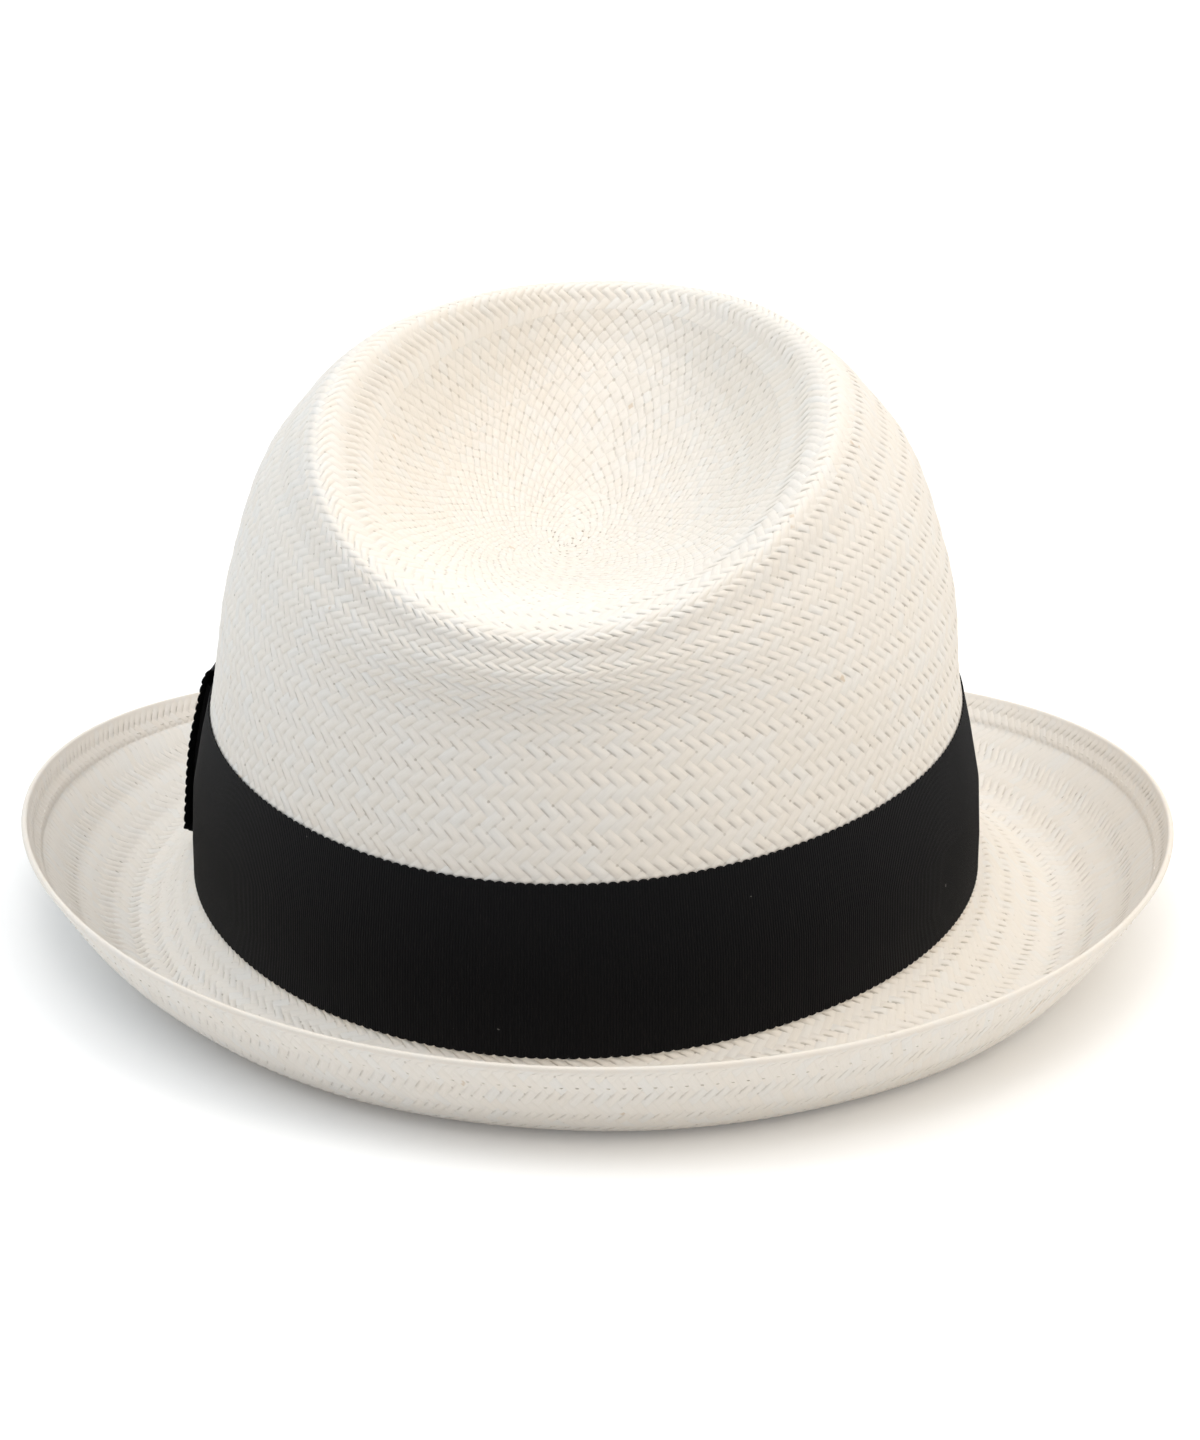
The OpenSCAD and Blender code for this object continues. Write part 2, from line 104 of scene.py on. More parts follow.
def rings(a):
    """The loft's rings at angles a in degrees: ellipses with a taper, slope, arch and two front pinches."""
    t = np.radians(a)
    c, s, c2 = np.cos(t), np.sin(t), np.cos(2 * t)
    dent = PINCH_DEPTH * (bell(a, 270 - PINCH_AT) + bell(a, 270 + PINCH_AT))
    kr, ks = 1 - RIDGE_PINCH * dent, 1 - SHOULDER_PINCH * dent
    tip = crown_point(TIP_AT[0] + 0 * c, TIP_AT[1] + 0 * c, TIP_H + 0 * c)
    floor_edge = crown_point(FLOOR_AT[0] + FLOOR_W * c * (1 + FLOOR_TAPER * s), FLOOR_AT[1] + FLOOR_L * s,
                             FLOOR_H - FLOOR_SLOPE * s)
    dish = tip + (floor_edge - tip) * np.array([DISH_OUT, DISH_OUT, DISH_UP])
    trough = point(TROUGH_AT[0] + TROUGH_W * c, TROUGH_AT[1] + TROUGH_L * s, BREAK_H - TROUGH_DROP + 0 * c)
    edge = point(BRIM_W * c, BRIM_L * s,
                 BREAK_H + EDGE_H + SIDE_CURL * c2 + BACK_CURL * s
                 - EDGE_SWAY * c + EDGE_TWIST * np.sin(2 * t)
                 + EDGE_WAVE_SIDE * np.cos(3 * t) - EDGE_WAVE_BACK * np.sin(3 * t))
    return np.stack([
        tip, dish, floor_edge,
        crown_point(RIDGE_W * c * (1 + RIDGE_TAPER * s) * kr, RIDGE_AT + RIDGE_L * s * kr,
                    RIDGE_H - RIDGE_SLOPE * s + RIDGE_ARCH * c2),
        crown_point(SHOULDER_W * c * ks, SHOULDER_AT + SHOULDER_L * s * ks,
                    SHOULDER_H - RIDGE_SLOPE * SHOULDER_SLOPE * s + RIDGE_ARCH * SHOULDER_ARCH * c2),
        crown_point((BREAK_W - DRAFT_SIDE) * c, (BREAK_L - DRAFT_END) * s + MID_WALL_AT, WALL_H + 0 * c),
        band_ring(a, 1, KNOTS[6]), band_ring(a, LEAN_MID, KNOTS[7]), band_ring(a, LEAN_FOOT, KNOTS[8]),
        band_ring(a, 0, V_BREAK),
        crown_point((BREAK_W + BREAK_INSET) * c, (BREAK_L + BREAK_INSET) * s, -BREAK_DROP + 0 * c),
        trough, trough + (edge - trough) * np.array([ROLL_OUT, ROLL_OUT, ROLL_UP]), edge])


def hood(a, v):
    """The hood's upper surface at column angles a (m) and profile distances v (n, m): a cubic Hermite curve
    through the rings, with each ring's slope taken from its two neighbours."""
    r = rings(a)
    h = np.diff(KNOTS)[:, None, None]
    d = np.diff(r, axis=0) / h
    s = np.concatenate([d[:1], (d[:-1] * h[1:] + d[1:] * h[:-1]) / (h[1:] + h[:-1]), d[-1:]])
    k = np.clip(np.searchsorted(KNOTS, v, side="right") - 1, 0, len(KNOTS) - 2)
    col = np.broadcast_to(np.arange(len(a)), v.shape)
    step = (KNOTS[k + 1] - KNOTS[k])[..., None]
    u = (v - KNOTS[k])[..., None] / step
    return ((2 * u ** 3 - 3 * u ** 2 + 1) * r[k, col] + (u ** 3 - 2 * u ** 2 + u) * step * s[k, col]
            + (3 * u ** 2 - 2 * u ** 3) * r[k + 1, col] + (u ** 3 - u ** 2) * step * s[k + 1, col])


def over(a, v, d):
    """Points d over the upper surface, along its normal: the cross product of its slopes round and along."""
    a = np.asarray(a, float)
    v = np.broadcast_to(v, np.broadcast_shapes(np.shape(v), np.shape(d), (1, len(a)))).astype(float)
    e = np.clip(v, 1.0, V_EDGE - 0.5)
    to_side, to_edge = 0.3, 0.4
    n = -np.cross(hood(a + to_side, e) - hood(a - to_side, e), hood(a, e + to_edge) - hood(a, e - to_edge))
    n /= np.linalg.norm(n, axis=-1, keepdims=True)
    return hood(a, v) + n * np.asarray(np.broadcast_to(d, v.shape))[..., None]


def edge_v(a, s):
    """Profile distance that lies s millimetres inward from the brim's edge."""
    reach = 6.0
    top, low = hood(a, np.full((1, len(a)), V_EDGE)), hood(a, np.full((1, len(a)), V_EDGE - reach))
    return V_EDGE - s * reach / np.linalg.norm(top - low, axis=-1)


# ---- meshes ----

def put(name, points, quads, tris, uv=None, flat=None, relief=None):
    """A mesh object from points in millimetres and faces with four and with three corners. uv gives every
    face corner its place in the piece's own pattern, and relief every point its share of the relief."""
    me = bpy.data.meshes.new(name)
    quads, tris = np.asarray(quads, np.int64).reshape(-1, 4), np.asarray(tris, np.int64).reshape(-1, 3)
    corners = np.concatenate([quads.ravel(), tris.ravel()])
    starts = np.concatenate([np.arange(len(quads)) * 4, len(quads) * 4 + np.arange(len(tris)) * 3])
    me.vertices.add(len(points))
    me.vertices.foreach_set("co", (np.asarray(points) * MM).astype(np.float32).ravel())
    me.loops.add(len(corners))
    me.loops.foreach_set("vertex_index", corners.astype(np.int32))
    me.polygons.add(len(starts))
    me.polygons.foreach_set("loop_start", starts.astype(np.int32))
    smooth = np.ones(len(starts), bool) if flat is None else ~flat
    me.polygons.foreach_set("use_smooth", smooth)
    me.update(calc_edges=True)
    if uv is not None:
        me.uv_layers.new(name="pattern").data.foreach_set("uv", uv.astype(np.float32).ravel())
    if relief is not None:
        me.attributes.new("relief", "FLOAT", "POINT").data.foreach_set("value", relief.astype(np.float32))
    me.validate()
    obj = bpy.data.objects.new(name, me)
    scene.collection.objects.link(obj)
    return obj


def loop_piece(name, grid, low_uv=None, high_uv=None, poles=False, flat_rows=(), turned=False, relief=None):
    """A closed ring-shaped or capped piece. grid (n, m) runs along a closed profile in its rows and all round
    in its columns; with poles the first and the last row are single points. low_uv and high_uv (n, m + 1) are
    the pattern's places on the two edges of each row of faces."""
    n, m = grid.shape[:2]
    i, j = np.meshgrid(np.arange(n - 1 if poles else n), np.arange(m), indexing="ij")
    i2, j2 = (i + 1) % n, (j + 1) % m
    quads = np.stack([i * m + j, i2 * m + j, i2 * m + j2, i * m + j2], -1)
    uv = None
    if low_uv is not None:
        low_uv, high_uv = low_uv[:len(i)], high_uv[:len(i)]
        uv = np.stack([low_uv[:, :-1], high_uv[:, :-1], high_uv[:, 1:], low_uv[:, 1:]], 2)
    if turned:
        quads = quads[:, :, ::-1]
        uv = None if uv is None else uv[:, :, ::-1]
    flat = np.zeros(quads.shape[:2], bool)
    flat[list(flat_rows)] = True
    points = grid.reshape(-1, 3)
    relief = None if relief is None else np.broadcast_to(relief, (n, m)).ravel()
    if not poles:
        return put(name, points, quads, [], uv, flat.ravel(), relief)
    # The first and last rows of faces are three-cornered, and meet in one point each
    first, last = quads[0], quads[-1]
    pick = ([0, 1, 2], [0, 1, 3])
    start, end = 0, (n - 1) * m
    tri_a = first[:, pick[0]].copy()
    tri_b = last[:, pick[1]].copy()
    tri_a[tri_a < m] = start
    tri_b[tri_b >= end] = end
    tris = np.concatenate([tri_a, tri_b])
    uv_t = None
    if uv is not None:
        uv_t = np.concatenate([uv[1:-1].reshape(-1, 2), uv[0][:, pick[0]].reshape(-1, 2),
                               uv[-1][:, pick[1]].reshape(-1, 2)])
    flat_t = np.concatenate([flat[1:-1].ravel(), flat[0], flat[-1]])
    obj = put(name, points, quads[1:-1], tris, uv_t, flat_t, relief)
    return drop_loose(obj)


def drop_loose(obj):
    """Takes away the points that no face uses."""
    bm = bmesh.new()
    bm.from_mesh(obj.data)
    loose = [p for p in bm.verts if not p.link_faces]
    bmesh.ops.delete(bm, geom=loose, context="VERTS")
    bm.to_mesh(obj.data)
    bm.free()
    return obj


def strip_piece(name, grid, uv_u, uv_v, turned=False):
    """A flat strip with two ends. grid (n, m) has a closed profile in its rows, its first half one face and
    its second half the other face turned back, and runs from end to end in its columns."""
    n, m = grid.shape[:2]
    i, j = np.meshgrid(np.arange(n), np.arange(m - 1), indexing="ij")
    i2 = (i + 1) % n
    quads = np.stack([i * m + j, i2 * m + j, i2 * m + j + 1, i * m + j + 1], -1)
    places = np.stack([uv_u, uv_v], -1)
    uv = np.stack([places[i, j], places[i2, j], places[i2, j + 1], places[i, j + 1]], 2)
    k = np.arange(n // 2 - 1)
    ends = []
    for col, back in ((0, False), (m - 1, True)):
        cap = np.stack([k * m + col, (n - 1 - k) * m + col, (n - 2 - k) * m + col, (k + 1) * m + col], -1)
        ends.append(cap[:, ::-1] if back else cap)
    caps = np.concatenate(ends)[:, ::-1]
    quads, uv = quads.reshape(-1, 4), uv.reshape(-1, 4, 2)
    cap_uv = places.reshape(-1, 2)[caps]
    quads, uv = np.concatenate([quads, caps]), np.concatenate([uv, cap_uv])
    if turned:
        quads, uv = quads[:, ::-1], uv[:, ::-1]
    flat = np.arange(len(quads)) >= len(quads) - len(caps)
    return put(name, grid.reshape(-1, 3), quads, [], uv, flat)


# ---- materials ----

class Finish:
    """A node material, written as a chain of sums on the pattern's places."""

    def __init__(self, name, color, roughness, specular=0.5):
        self.mat = bpy.data.materials.new(name)
        self.mat.use_nodes = True
        self.tree = self.mat.node_tree
        self.shader = self.tree.nodes["Principled BSDF"]
        self.shader.inputs["Base Color"].default_value = (*color, 1)
        self.shader.inputs["Roughness"].default_value = roughness
        self.shader.inputs["Specular IOR Level"].default_value = specular

    def node(self, kind, values=(), **settings):
        made = self.tree.nodes.new(kind)
        for key, value in settings.items():
            setattr(made, key, value)
        for key, value in dict(values).items():
            self.link(made.inputs[key], value)
        return made

    def link(self, socket, value):
        if isinstance(value, bpy.types.NodeSocket):
            self.tree.links.new(value, socket)
        else:
            socket.default_value = value

    def sum(self, operation, a, b=None):
        made = self.node("ShaderNodeMath", {0: a}, operation=operation)
        if b is not None:
            self.link(made.inputs[1], b)
        return made.outputs[0]

    def add(self, a, b):
        return self.sum("ADD", a, b)

    def times(self, a, b):
        return self.sum("MULTIPLY", a, b)

    def less(self, a, b):
        return self.sum("SUBTRACT", a, b)

    def step(self, value, low, high, to_low=0.0, to_high=1.0):
        made = self.node("ShaderNodeMapRange", {"Value": value, "From Min": low, "From Max": high,
                                                "To Min": to_low, "To Max": to_high},
                         interpolation_type="SMOOTHSTEP")
        return made.outputs["Result"]

    def mix(self, share, a, b):
        made = self.node("ShaderNodeMix", {"Factor": share}, data_type="RGBA")
        self.link(made.inputs[6], a)
        self.link(made.inputs[7], b)
        return made.outputs[2]

    def vector(self, x, y, z=0.0):
        return self.node("ShaderNodeCombineXYZ", {0: x, 1: y, 2: z}).outputs[0]

    def places(self):
        uv = self.node("ShaderNodeUVMap", uv_map="pattern")
        parts = self.node("ShaderNodeSeparateXYZ", {0: uv.outputs[0]})
        return parts.outputs[0], parts.outputs[1]

    def chance(self, place):
        return self.node("ShaderNodeTexWhiteNoise", {"Vector": place}, noise_dimensions="3D").outputs["Value"]

    def noise(self, place, scale, detail=2.0, rough=0.5):
        return self.node("ShaderNodeTexNoise", {"Vector": place, "Scale": scale, "Detail": detail,
                                                "Roughness": rough}).outputs["Fac"]

    def object_place(self):
        return self.node("ShaderNodeTexCoord").outputs["Object"]

    def relief(self, height, distance, strength=1.0):
        made = self.node("ShaderNodeBump", {"Height": height, "Distance": distance, "Strength": strength})
        self.tree.links.new(made.outputs[0], self.shader.inputs["Normal"])

    def color(self, value):
        self.tree.links.new(value, self.shader.inputs["Base Color"])

    def roughness(self, value):
        self.tree.links.new(value, self.shader.inputs["Roughness"])


STRAW = (0.880, 0.829, 0.760)
STRAW_WARM = (0.872, 0.800, 0.702)
STRAW_COOL = (0.866, 0.834, 0.784)
STRAW_FIBRE_AND_SHADE = (0.36, 0.30, 0.235)
STRAW_FLECK = (0.52, 0.33, 0.13)
STRAW_HEM = (0.800, 0.715, 0.620)


def straw_finish(name, plain):
    """Straw strands in two slanting families. In the herringbone each strand lies over two strands and then
    under two; in the plain weave of the tip they take turns. Each float is rounded, split into fibres and a
    tone of its own, with a slit along one side. The slits and the holes between the floats are painted dark,
    as painted shade in the gaps; the slits are longer and their painted shade darker in the second family,
    as the light falls across the weave. The tip is painted a little darker, as painted shade; the hem is
    painted darker and browner, partly its double layer's own tone and partly painted shade."""
    f = Finish(name, STRAW, 0.56, 0.30)
    u, v = f.places()
    a = f.add(u, v)
    b = f.add(f.less(u, v), 0.5 if plain else 0.0)
    i, j = f.sum("FLOOR", a), f.sum("FLOOR", b)
    if plain:
        turn = f.sum("FLOORED_MODULO", f.add(i, j), 2.0)
        along = f.add(b, f.times(turn, f.less(a, b)))
    else:
        turn = f.sum("FLOORED_MODULO", f.sum("FLOOR", f.times(f.less(i, j), 0.5)), 2.0)
        first, second = f.add(f.less(b, i), 1.0), f.less(f.less(a, j), 2.0)
        along = f.times(f.add(first, f.times(turn, f.less(second, first))), 0.25)
    across = f.add(a, f.times(turn, f.less(b, a)))
    strand, row = f.sum("FLOOR", across), f.sum("FLOOR", along)
    way = f.sum("FRACT", across)
    x = f.times(f.sum("ABSOLUTE", f.less(way, 0.5)), 2.0)
    place = f.times(f.sum("FRACT", along), 1.0 if plain else 2.0)
    y = f.times(f.sum("ABSOLUTE", f.less(place, 0.5)), 2.0)
    one = f.chance(f.vector(strand, row, turn))
    two = f.chance(f.vector(row, strand, 7.3))
    fibre = f.noise(f.vector(f.times(across, 8.0), f.times(along, 1.6), one), 1.5, 3.0, 0.6)
    # A float's far side rides up on its neighbour, so that a slit shows beside it. The slit sinks the relief
    # and is painted dark too, as painted shade in the gap; in the second family it is longer and its painted
    # shade darker, as the light falls across the weave.
    side = f.add(way, f.times(turn, f.less(1.0, f.times(way, 2.0))))
    slit = f.times(f.step(side, 0.74, 0.97), f.step(f.less(f.add(0.45, f.times(turn, 0.25)), y), 0.0, 0.3))
    slit = f.times(slit, f.times(f.step(two, 0.15, 0.95, 0.25, 1.0), f.step(turn, 0.0, 1.0, 0.5, 1.0)))
    share = f.node("ShaderNodeAttribute", attribute_name="relief", attribute_type="GEOMETRY").outputs["Fac"]
    slit = f.times(slit, share)
    near_a, near_b = f.sum("FLOOR", f.add(a, 0.5)), f.sum("FLOOR", f.add(b, 0.5))
    off_a, off_b = f.less(a, near_a), f.less(b, near_b)
    hole = f.step(f.add(f.times(off_a, off_a), f.times(off_b, off_b)), 0.042 if plain else 0.030, 0.006)
    some = f.chance(f.vector(near_a, near_b, 3.1))
    corner = f.times(hole, f.step(some, 0.35, 0.9) if plain else f.step(some, 0.70, 1.0))
    dome = f.less(1.0, f.times(0.8, f.sum("POWER", x, 3.0)))
    height = f.times(dome, f.less(1.0, f.times(0.45, f.sum("POWER", y, 3.0))))
    height = f.add(height, f.times(fibre, 0.14))
    height = f.times(f.less(height, f.times(slit, 0.45)), share)
    f.relief(height, 0.00030, 0.75)
    shade = f.mix(f.step(one, 0.0, 0.45), STRAW_COOL + (1,), STRAW + (1,))
    shade = f.mix(f.times(f.step(one, 0.65, 1.0), 0.30), shade, STRAW_WARM + (1,))
    wide = f.noise(f.object_place(), 18.0, 3.0)
    shade = f.mix(f.times(f.step(wide, 0.45, 0.75), 0.25), shade, STRAW_WARM + (1,))
    shade = f.mix(f.times(f.step(fibre, 0.35, 0.8), 0.06), shade, STRAW_FIBRE_AND_SHADE + (1,))
    speck = f.noise(f.object_place(), 420.0, 1.0)
    fleck = f.times(f.times(f.step(two, 0.9965, 0.9970), f.step(speck, 0.50, 0.62)), f.step(x, 0.75, 0.35))
    shade = f.mix(f.times(fleck, 0.40), shade, STRAW_FLECK + (1,))
    # Painted shade: the tip, all but a band along its border, is painted a little darker, to dim the strong
    # light on it from above
    if plain:
        shade = f.mix(f.step(v, 20.0, 15.0, 0.0, 0.065), shade, STRAW_FIBRE_AND_SHADE + (1,))
    else:
        # The hem is painted darker and browner: partly the double layer's own tone, partly painted shade
        shade = f.mix(f.step(v, EDGE_ROW + 0.1, EDGE_ROW + 0.2, 0.0, 0.30), shade, STRAW_HEM + (1,))
    # Round the middle of the tip, where the weaving starts, the holes are open, and their painted shade is
    # darker
    open_hole = f.step(v, 6.0, 2.0, 0.42, 1.0) if plain else 0.55
    holes = f.times(f.times(corner, share), open_hole)
    # Painted shade: the slits and the holes between the floats are painted dark
    dark = f.sum("MAXIMUM", f.times(slit, 0.22 if plain else 0.43), holes)
    f.color(f.mix(dark, shade, STRAW_FIBRE_AND_SHADE + (1,)))
    f.roughness(f.step(fibre, 0.2, 0.8, 0.48, 0.64))
    return f.mat


def ribbon_finish(name):
    """Grosgrain: one rib across the ribbon for each unit of the pattern, with the warp's threads over it."""
    f = Finish(name, (0.0050, 0.0050, 0.0056), 0.62, 0.05)
    u, v = f.places()
    rib = f.times(f.sum("ABSOLUTE", f.less(f.sum("FRACT", u), 0.5)), 2.0)
    thread = f.noise(f.vector(f.times(u, 0.7), f.times(v, 3.4)), 1.0, 3.0, 0.6)
    warp = f.times(f.sum("ABSOLUTE", f.less(f.sum("FRACT", f.times(v, 3.3)), 0.5)), 2.0)
    dome = f.less(1.0, f.sum("POWER", rib, 2.2))
    f.relief(f.add(dome, f.add(f.times(thread, 0.30), f.times(warp, 0.12))), 0.00010, 0.8)
    tone = f.mix(f.step(thread, 0.3, 0.75), (0.0052, 0.0052, 0.0058, 1), (0.0090, 0.0090, 0.0100, 1))
    lift = f.noise(f.object_place(), 40.0, 2.0)
    tone = f.mix(f.times(f.step(lift, 0.45, 0.8), 0.35), tone, (0.0092, 0.0090, 0.0096, 1))
    lint = f.noise(f.object_place(), 700.0, 0.0)
    tone = f.mix(f.times(f.step(lint, 0.905, 0.920), 0.30), tone, (0.40, 0.38, 0.36, 1))
    # Painted shade: the grooves between the ribs are painted darker
    f.color(f.mix(f.times(rib, 0.5), tone, (0.0022, 0.0022, 0.0026, 1)))
    f.roughness(f.step(thread, 0.2, 0.8, 0.52, 0.68))
    f.shader.inputs["Sheen Weight"].default_value = 0.02
    f.shader.inputs["Sheen Roughness"].default_value = 0.45
    return f.mat


def leather_finish(name):
    """Sweatband leather: pores and creases in the grain, darker along its edges, with a soft shine."""
    f = Finish(name, (0.50, 0.37, 0.25), 0.5, 0.4)
    place = f.object_place()
    cells = f.node("ShaderNodeTexVoronoi", {"Vector": place, "Scale": 900.0}, feature="DISTANCE_TO_EDGE")
    grain = f.step(cells.outputs["Distance"], 0.0, 0.12)
    soft = f.noise(place, 60.0, 4.0, 0.55)
    fine = f.noise(place, 1400.0, 2.0)
    f.relief(f.add(f.times(grain, 0.6), f.times(fine, 0.4)), 0.00012, 0.6)
    tone = f.mix(f.step(soft, 0.3, 0.7), (0.44, 0.32, 0.21, 1), (0.56, 0.43, 0.30, 1))
    f.color(f.mix(f.times(f.less(1.0, grain), 0.35), tone, (0.28, 0.185, 0.11, 1)))
    f.roughness(f.step(soft, 0.3, 0.7, 0.42, 0.56))
    return f.mat


def thread_finish(name, light, dark):
    """Twisted thread: slanting plies on the thread's own pattern."""
    f = Finish(name, light, 0.6, 0.3)
    u, v = f.places()
    ply = f.sum("ABSOLUTE", f.less(f.sum("FRACT", f.add(f.times(u, 2.0), f.times(v, 2.0))), 0.5))
    f.relief(ply, 0.00006, 0.8)
    f.color(f.mix(f.times(ply, 1.0), light + (1,), dark + (1,)))
    return f.mat


def plain_finish(name, dull, bright, scale, roughness, depth):
    """A hard smooth material, such as drawn wire or split reed: fine streaks and a few dull spots."""
    f = Finish(name, bright, roughness, 0.5)
    streak = f.noise(f.object_place(), scale, 3.0)
    f.relief(streak, depth, 0.5)
    f.color(f.mix(streak, dull + (1,), bright + (1,)))
    f.roughness(f.step(streak, 0.3, 0.7, roughness - 0.06, roughness + 0.08))
    return f.mat


def show(obj, material, slot, *nodes):
    """The piece takes its material and its body, and stands for the nodes; slot is not used."""
    obj.data.materials.clear()
    obj.data.materials.append(material)
    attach(obj, "root")
    if nodes:
        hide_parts(*nodes)
    return obj


# ---- the straw ----

ROW_TIP, ROW_WALL = 2.1, 3.0
TIP_ROWS = 28
V_TIP = TIP_ROWS * ROW_TIP
# The row of the weave that lies along the brim's edge; the hem's rows come after it
EDGE_ROW = 85.6
# The tip's own rows are this share of the ones counted here
TIP_SCALE = 0.72
# Where strands are added: rows counted from the middle of the tip, and the strands' spacing from there on.
# The last zone ends at LAST_ROW, and the wall's strands are counted at WALL_MIDDLE_ROW
ZONES = [(row, 2.9) for row in (0, 2, 4, 7, 11, 16, 22, TIP_ROWS)]
ZONES += [(33, 3.2), (69, 3.1), (74, 2.8), (80, 2.4)]
LAST_ROW, WALL_MIDDLE_ROW = 86, 45
# Rows at which the rings of the wall, the inner brim and the outer brim begin; from BAND_ROW to BRIM_ROW
# the straw lies under the band
WALL_ROW, BAND_ROW, BRIM_ROW, OUTER_ROW = 42.5, 57, 69, 78.5
# Depth of the weave's gaps outside and inside the tip, and the straw's small drop at the tip's border
RELIEF, TIP_RELIEF, JOINT_SINK = 0.42, 0.08, 0.05
# How much one family of strands stands out on the crown and on the brim, and the brim's deeper relief
WALL_LEAD, BRIM_LEAD, BRIM_ROUGH = 0.2, 0.36, 1.15


def v_of(row):
    """Profile distance of a row of the weave: the rows are finer in the tip."""
    row = np.asarray(row, float)
    return np.where(row < TIP_ROWS, row * ROW_TIP, V_TIP + (row - TIP_ROWS) * ROW_WALL)


def ring_length(v):
    """Length of the straw's ring at profile distance v."""
    a = np.linspace(0, 360, 721)
    return np.linalg.norm(np.diff(hood(a, np.full((1, len(a)), float(v)))[0], axis=0), axis=1).sum()


def strands():
    """Strands round the hat in each zone: the length of its middle ring over the spacing, an even number."""
    counts = []
    ends = [row for row, spacing in ZONES[1:]] + [LAST_ROW]
    for (row, spacing), end in zip(ZONES, ends):
        middle = WALL_MIDDLE_ROW if row < WALL_ROW < end else 0.5 * (row + end)
        counts.append(2 * round(ring_length(v_of(middle)) / spacing / 2))
    return np.array(counts)


COUNTS = strands()


def zone_count(row):
    """Strands round the hat at a row of the weave."""
    return COUNTS[np.clip(np.searchsorted([z[0] for z in ZONES], row, side="right") - 1, 0, len(ZONES) - 1)]


def weave(u, v, plain):
    """Relief of the weave, near 0 in the gaps and 1 on the floats: a dome across each strand times a dome
    along it. In the herringbone each strand lies over two strands of the other family and then under two."""
    a, b = u + v, u - v + (0.5 if plain else 0)
    i, j = np.floor(a), np.floor(b)
    turn = (i + j) % 2 if plain else np.floor((i - j) / 2) % 2
    across = np.where(turn < 0.5, a, b)
    along = np.where(turn < 0.5, b, a) if plain else np.where(turn < 0.5, b - i + 1, a - j - 2) % 4 / 2
    x = np.abs(across % 1 - 0.5) * 2
    y = np.abs(along % 1 - 0.5) * 2
    return (1 - 0.8 * x ** 2.6) * (1 - 0.6 * y ** 3)


def share_round(grid):
    """Share of the way round of every point along its row, from 0 to 1, with the closing column."""
    closed = np.concatenate([grid, grid[:, :1]], 1)
    way = np.cumsum(np.linalg.norm(np.diff(closed, axis=1), axis=-1), 1)
    way = np.concatenate([np.zeros((len(grid), 1)), way], 1)
    return way / np.maximum(way[:, -1:], 1e-9)


def ripple(a, v, row):
    """Slow unevenness of the hand-woven straw, in millimetres: a faint wave every two rows and long soft
    dents. It dies out in the middle of the tip, under the band and at the brim's edge."""
    t = np.radians(a)[None, :]
    long = 0.16 * np.sin(5 * t + 0.21 * row) + 0.12 * np.sin(9 * t - 0.33 * row + 1.1)
    calm = np.clip(np.minimum((v - 8) / 10, (V_EDGE - v) / 16), 0, 1)
    calm = calm * np.clip(np.maximum((V_BAND_TOP - 3 - v) / 12, (v - V_BREAK - 2) / 8), 0, 1)
    return (0.06 * np.cos(math.pi * row) + long) * calm


def woven_piece(name, columns, path, plain=False, poles=False, flat_rows=()):
    """A ring of the hood. Each path row is (profile distance, distance in from the edge, share of the second
    one, height over the straw's upper surface, row of the weave, side, share of the relief): side is 1 on the
    upper and -1 on the under side."""
    a = 270.0 + np.arange(columns) * 360 / columns
    v, s, share, d, row, side, rough = [column[:, None] for column in np.array(path, float).T]
    v = v * (1 - share) + edge_v(a, s) * share
    round_share = share_round(over(a, v, np.broadcast_to(d, v.shape)))
    count = zone_count(row + 1e-6)
    joint = np.clip(np.abs(row - TIP_ROWS) / 0.5, 0, 1)
    wave = ripple(a, v, row)
    if plain:
        row = row * TIP_SCALE
    else:
        # One family of strands stands out over the other, all the more on the brim
        on_brim = row > BRIM_ROW - 3
        rough = rough * (1 - np.where(on_brim, BRIM_LEAD, WALL_LEAD) * (1 + np.cos(math.pi * (row - 0.25))))
        rough = np.where(on_brim, BRIM_ROUGH, 1.0) * rough
    lift = (TIP_RELIEF if plain else RELIEF) * rough * (weave(count * round_share[:, :-1], row, plain) - 1)
    lift = lift * joint - JOINT_SINK * (1 - joint)
    if poles:
        lift = lift * np.clip((v - 1.0) / 4, 0, 1)
    grid = over(a, v, d + wave + side * lift)
    here, there = count * round_share, count * np.roll(round_share, -1, 0)
    # Where the straw is cut and the row jumps, the pattern stays where it is
    after = np.roll(row, -1, 0)
    after = np.where(np.abs(after - row) > 1.6, row + 0.02, after)
    low = np.stack([here, np.broadcast_to(row, here.shape)], -1)
    high = np.stack([there, np.broadcast_to(after, there.shape)], -1)
    return loop_piece(name, grid, low, high, poles, flat_rows, relief=rough)


def spread(first, last, per_row):
    """Rows from first to last, with one more close beside each end, so that the ends shade as the rest."""
    rows = np.linspace(first, last, round((last - first) * per_row) + 1)
    return np.concatenate([[first, first + 0.02], rows[1:-1], [last - 0.02, last]])


def upper(first, last, per_row, relief=1.0):
    """Path rows on the upper side between two rows of the weave."""
    return [(float(v_of(r)), 0, 0, 0.0, r, 1, relief) for r in spread(first, last, per_row)]


def tongue(last):
    """A narrow tongue past the last row that lies in the next ring, so that no light passes between them."""
    return [(float(v_of(last + 0.12)), 0, 0, -0.12, last, 1, 1.0)]


def under(first, last, per_row, relief=1.0):
    """Path rows on the under side, one straw's thickness lower, from the last row back to the first."""
    return [(float(v_of(r)), 0, 0, -STRAW_T, r, -1, relief) for r in spread(first, last, per_row)[::-1]]


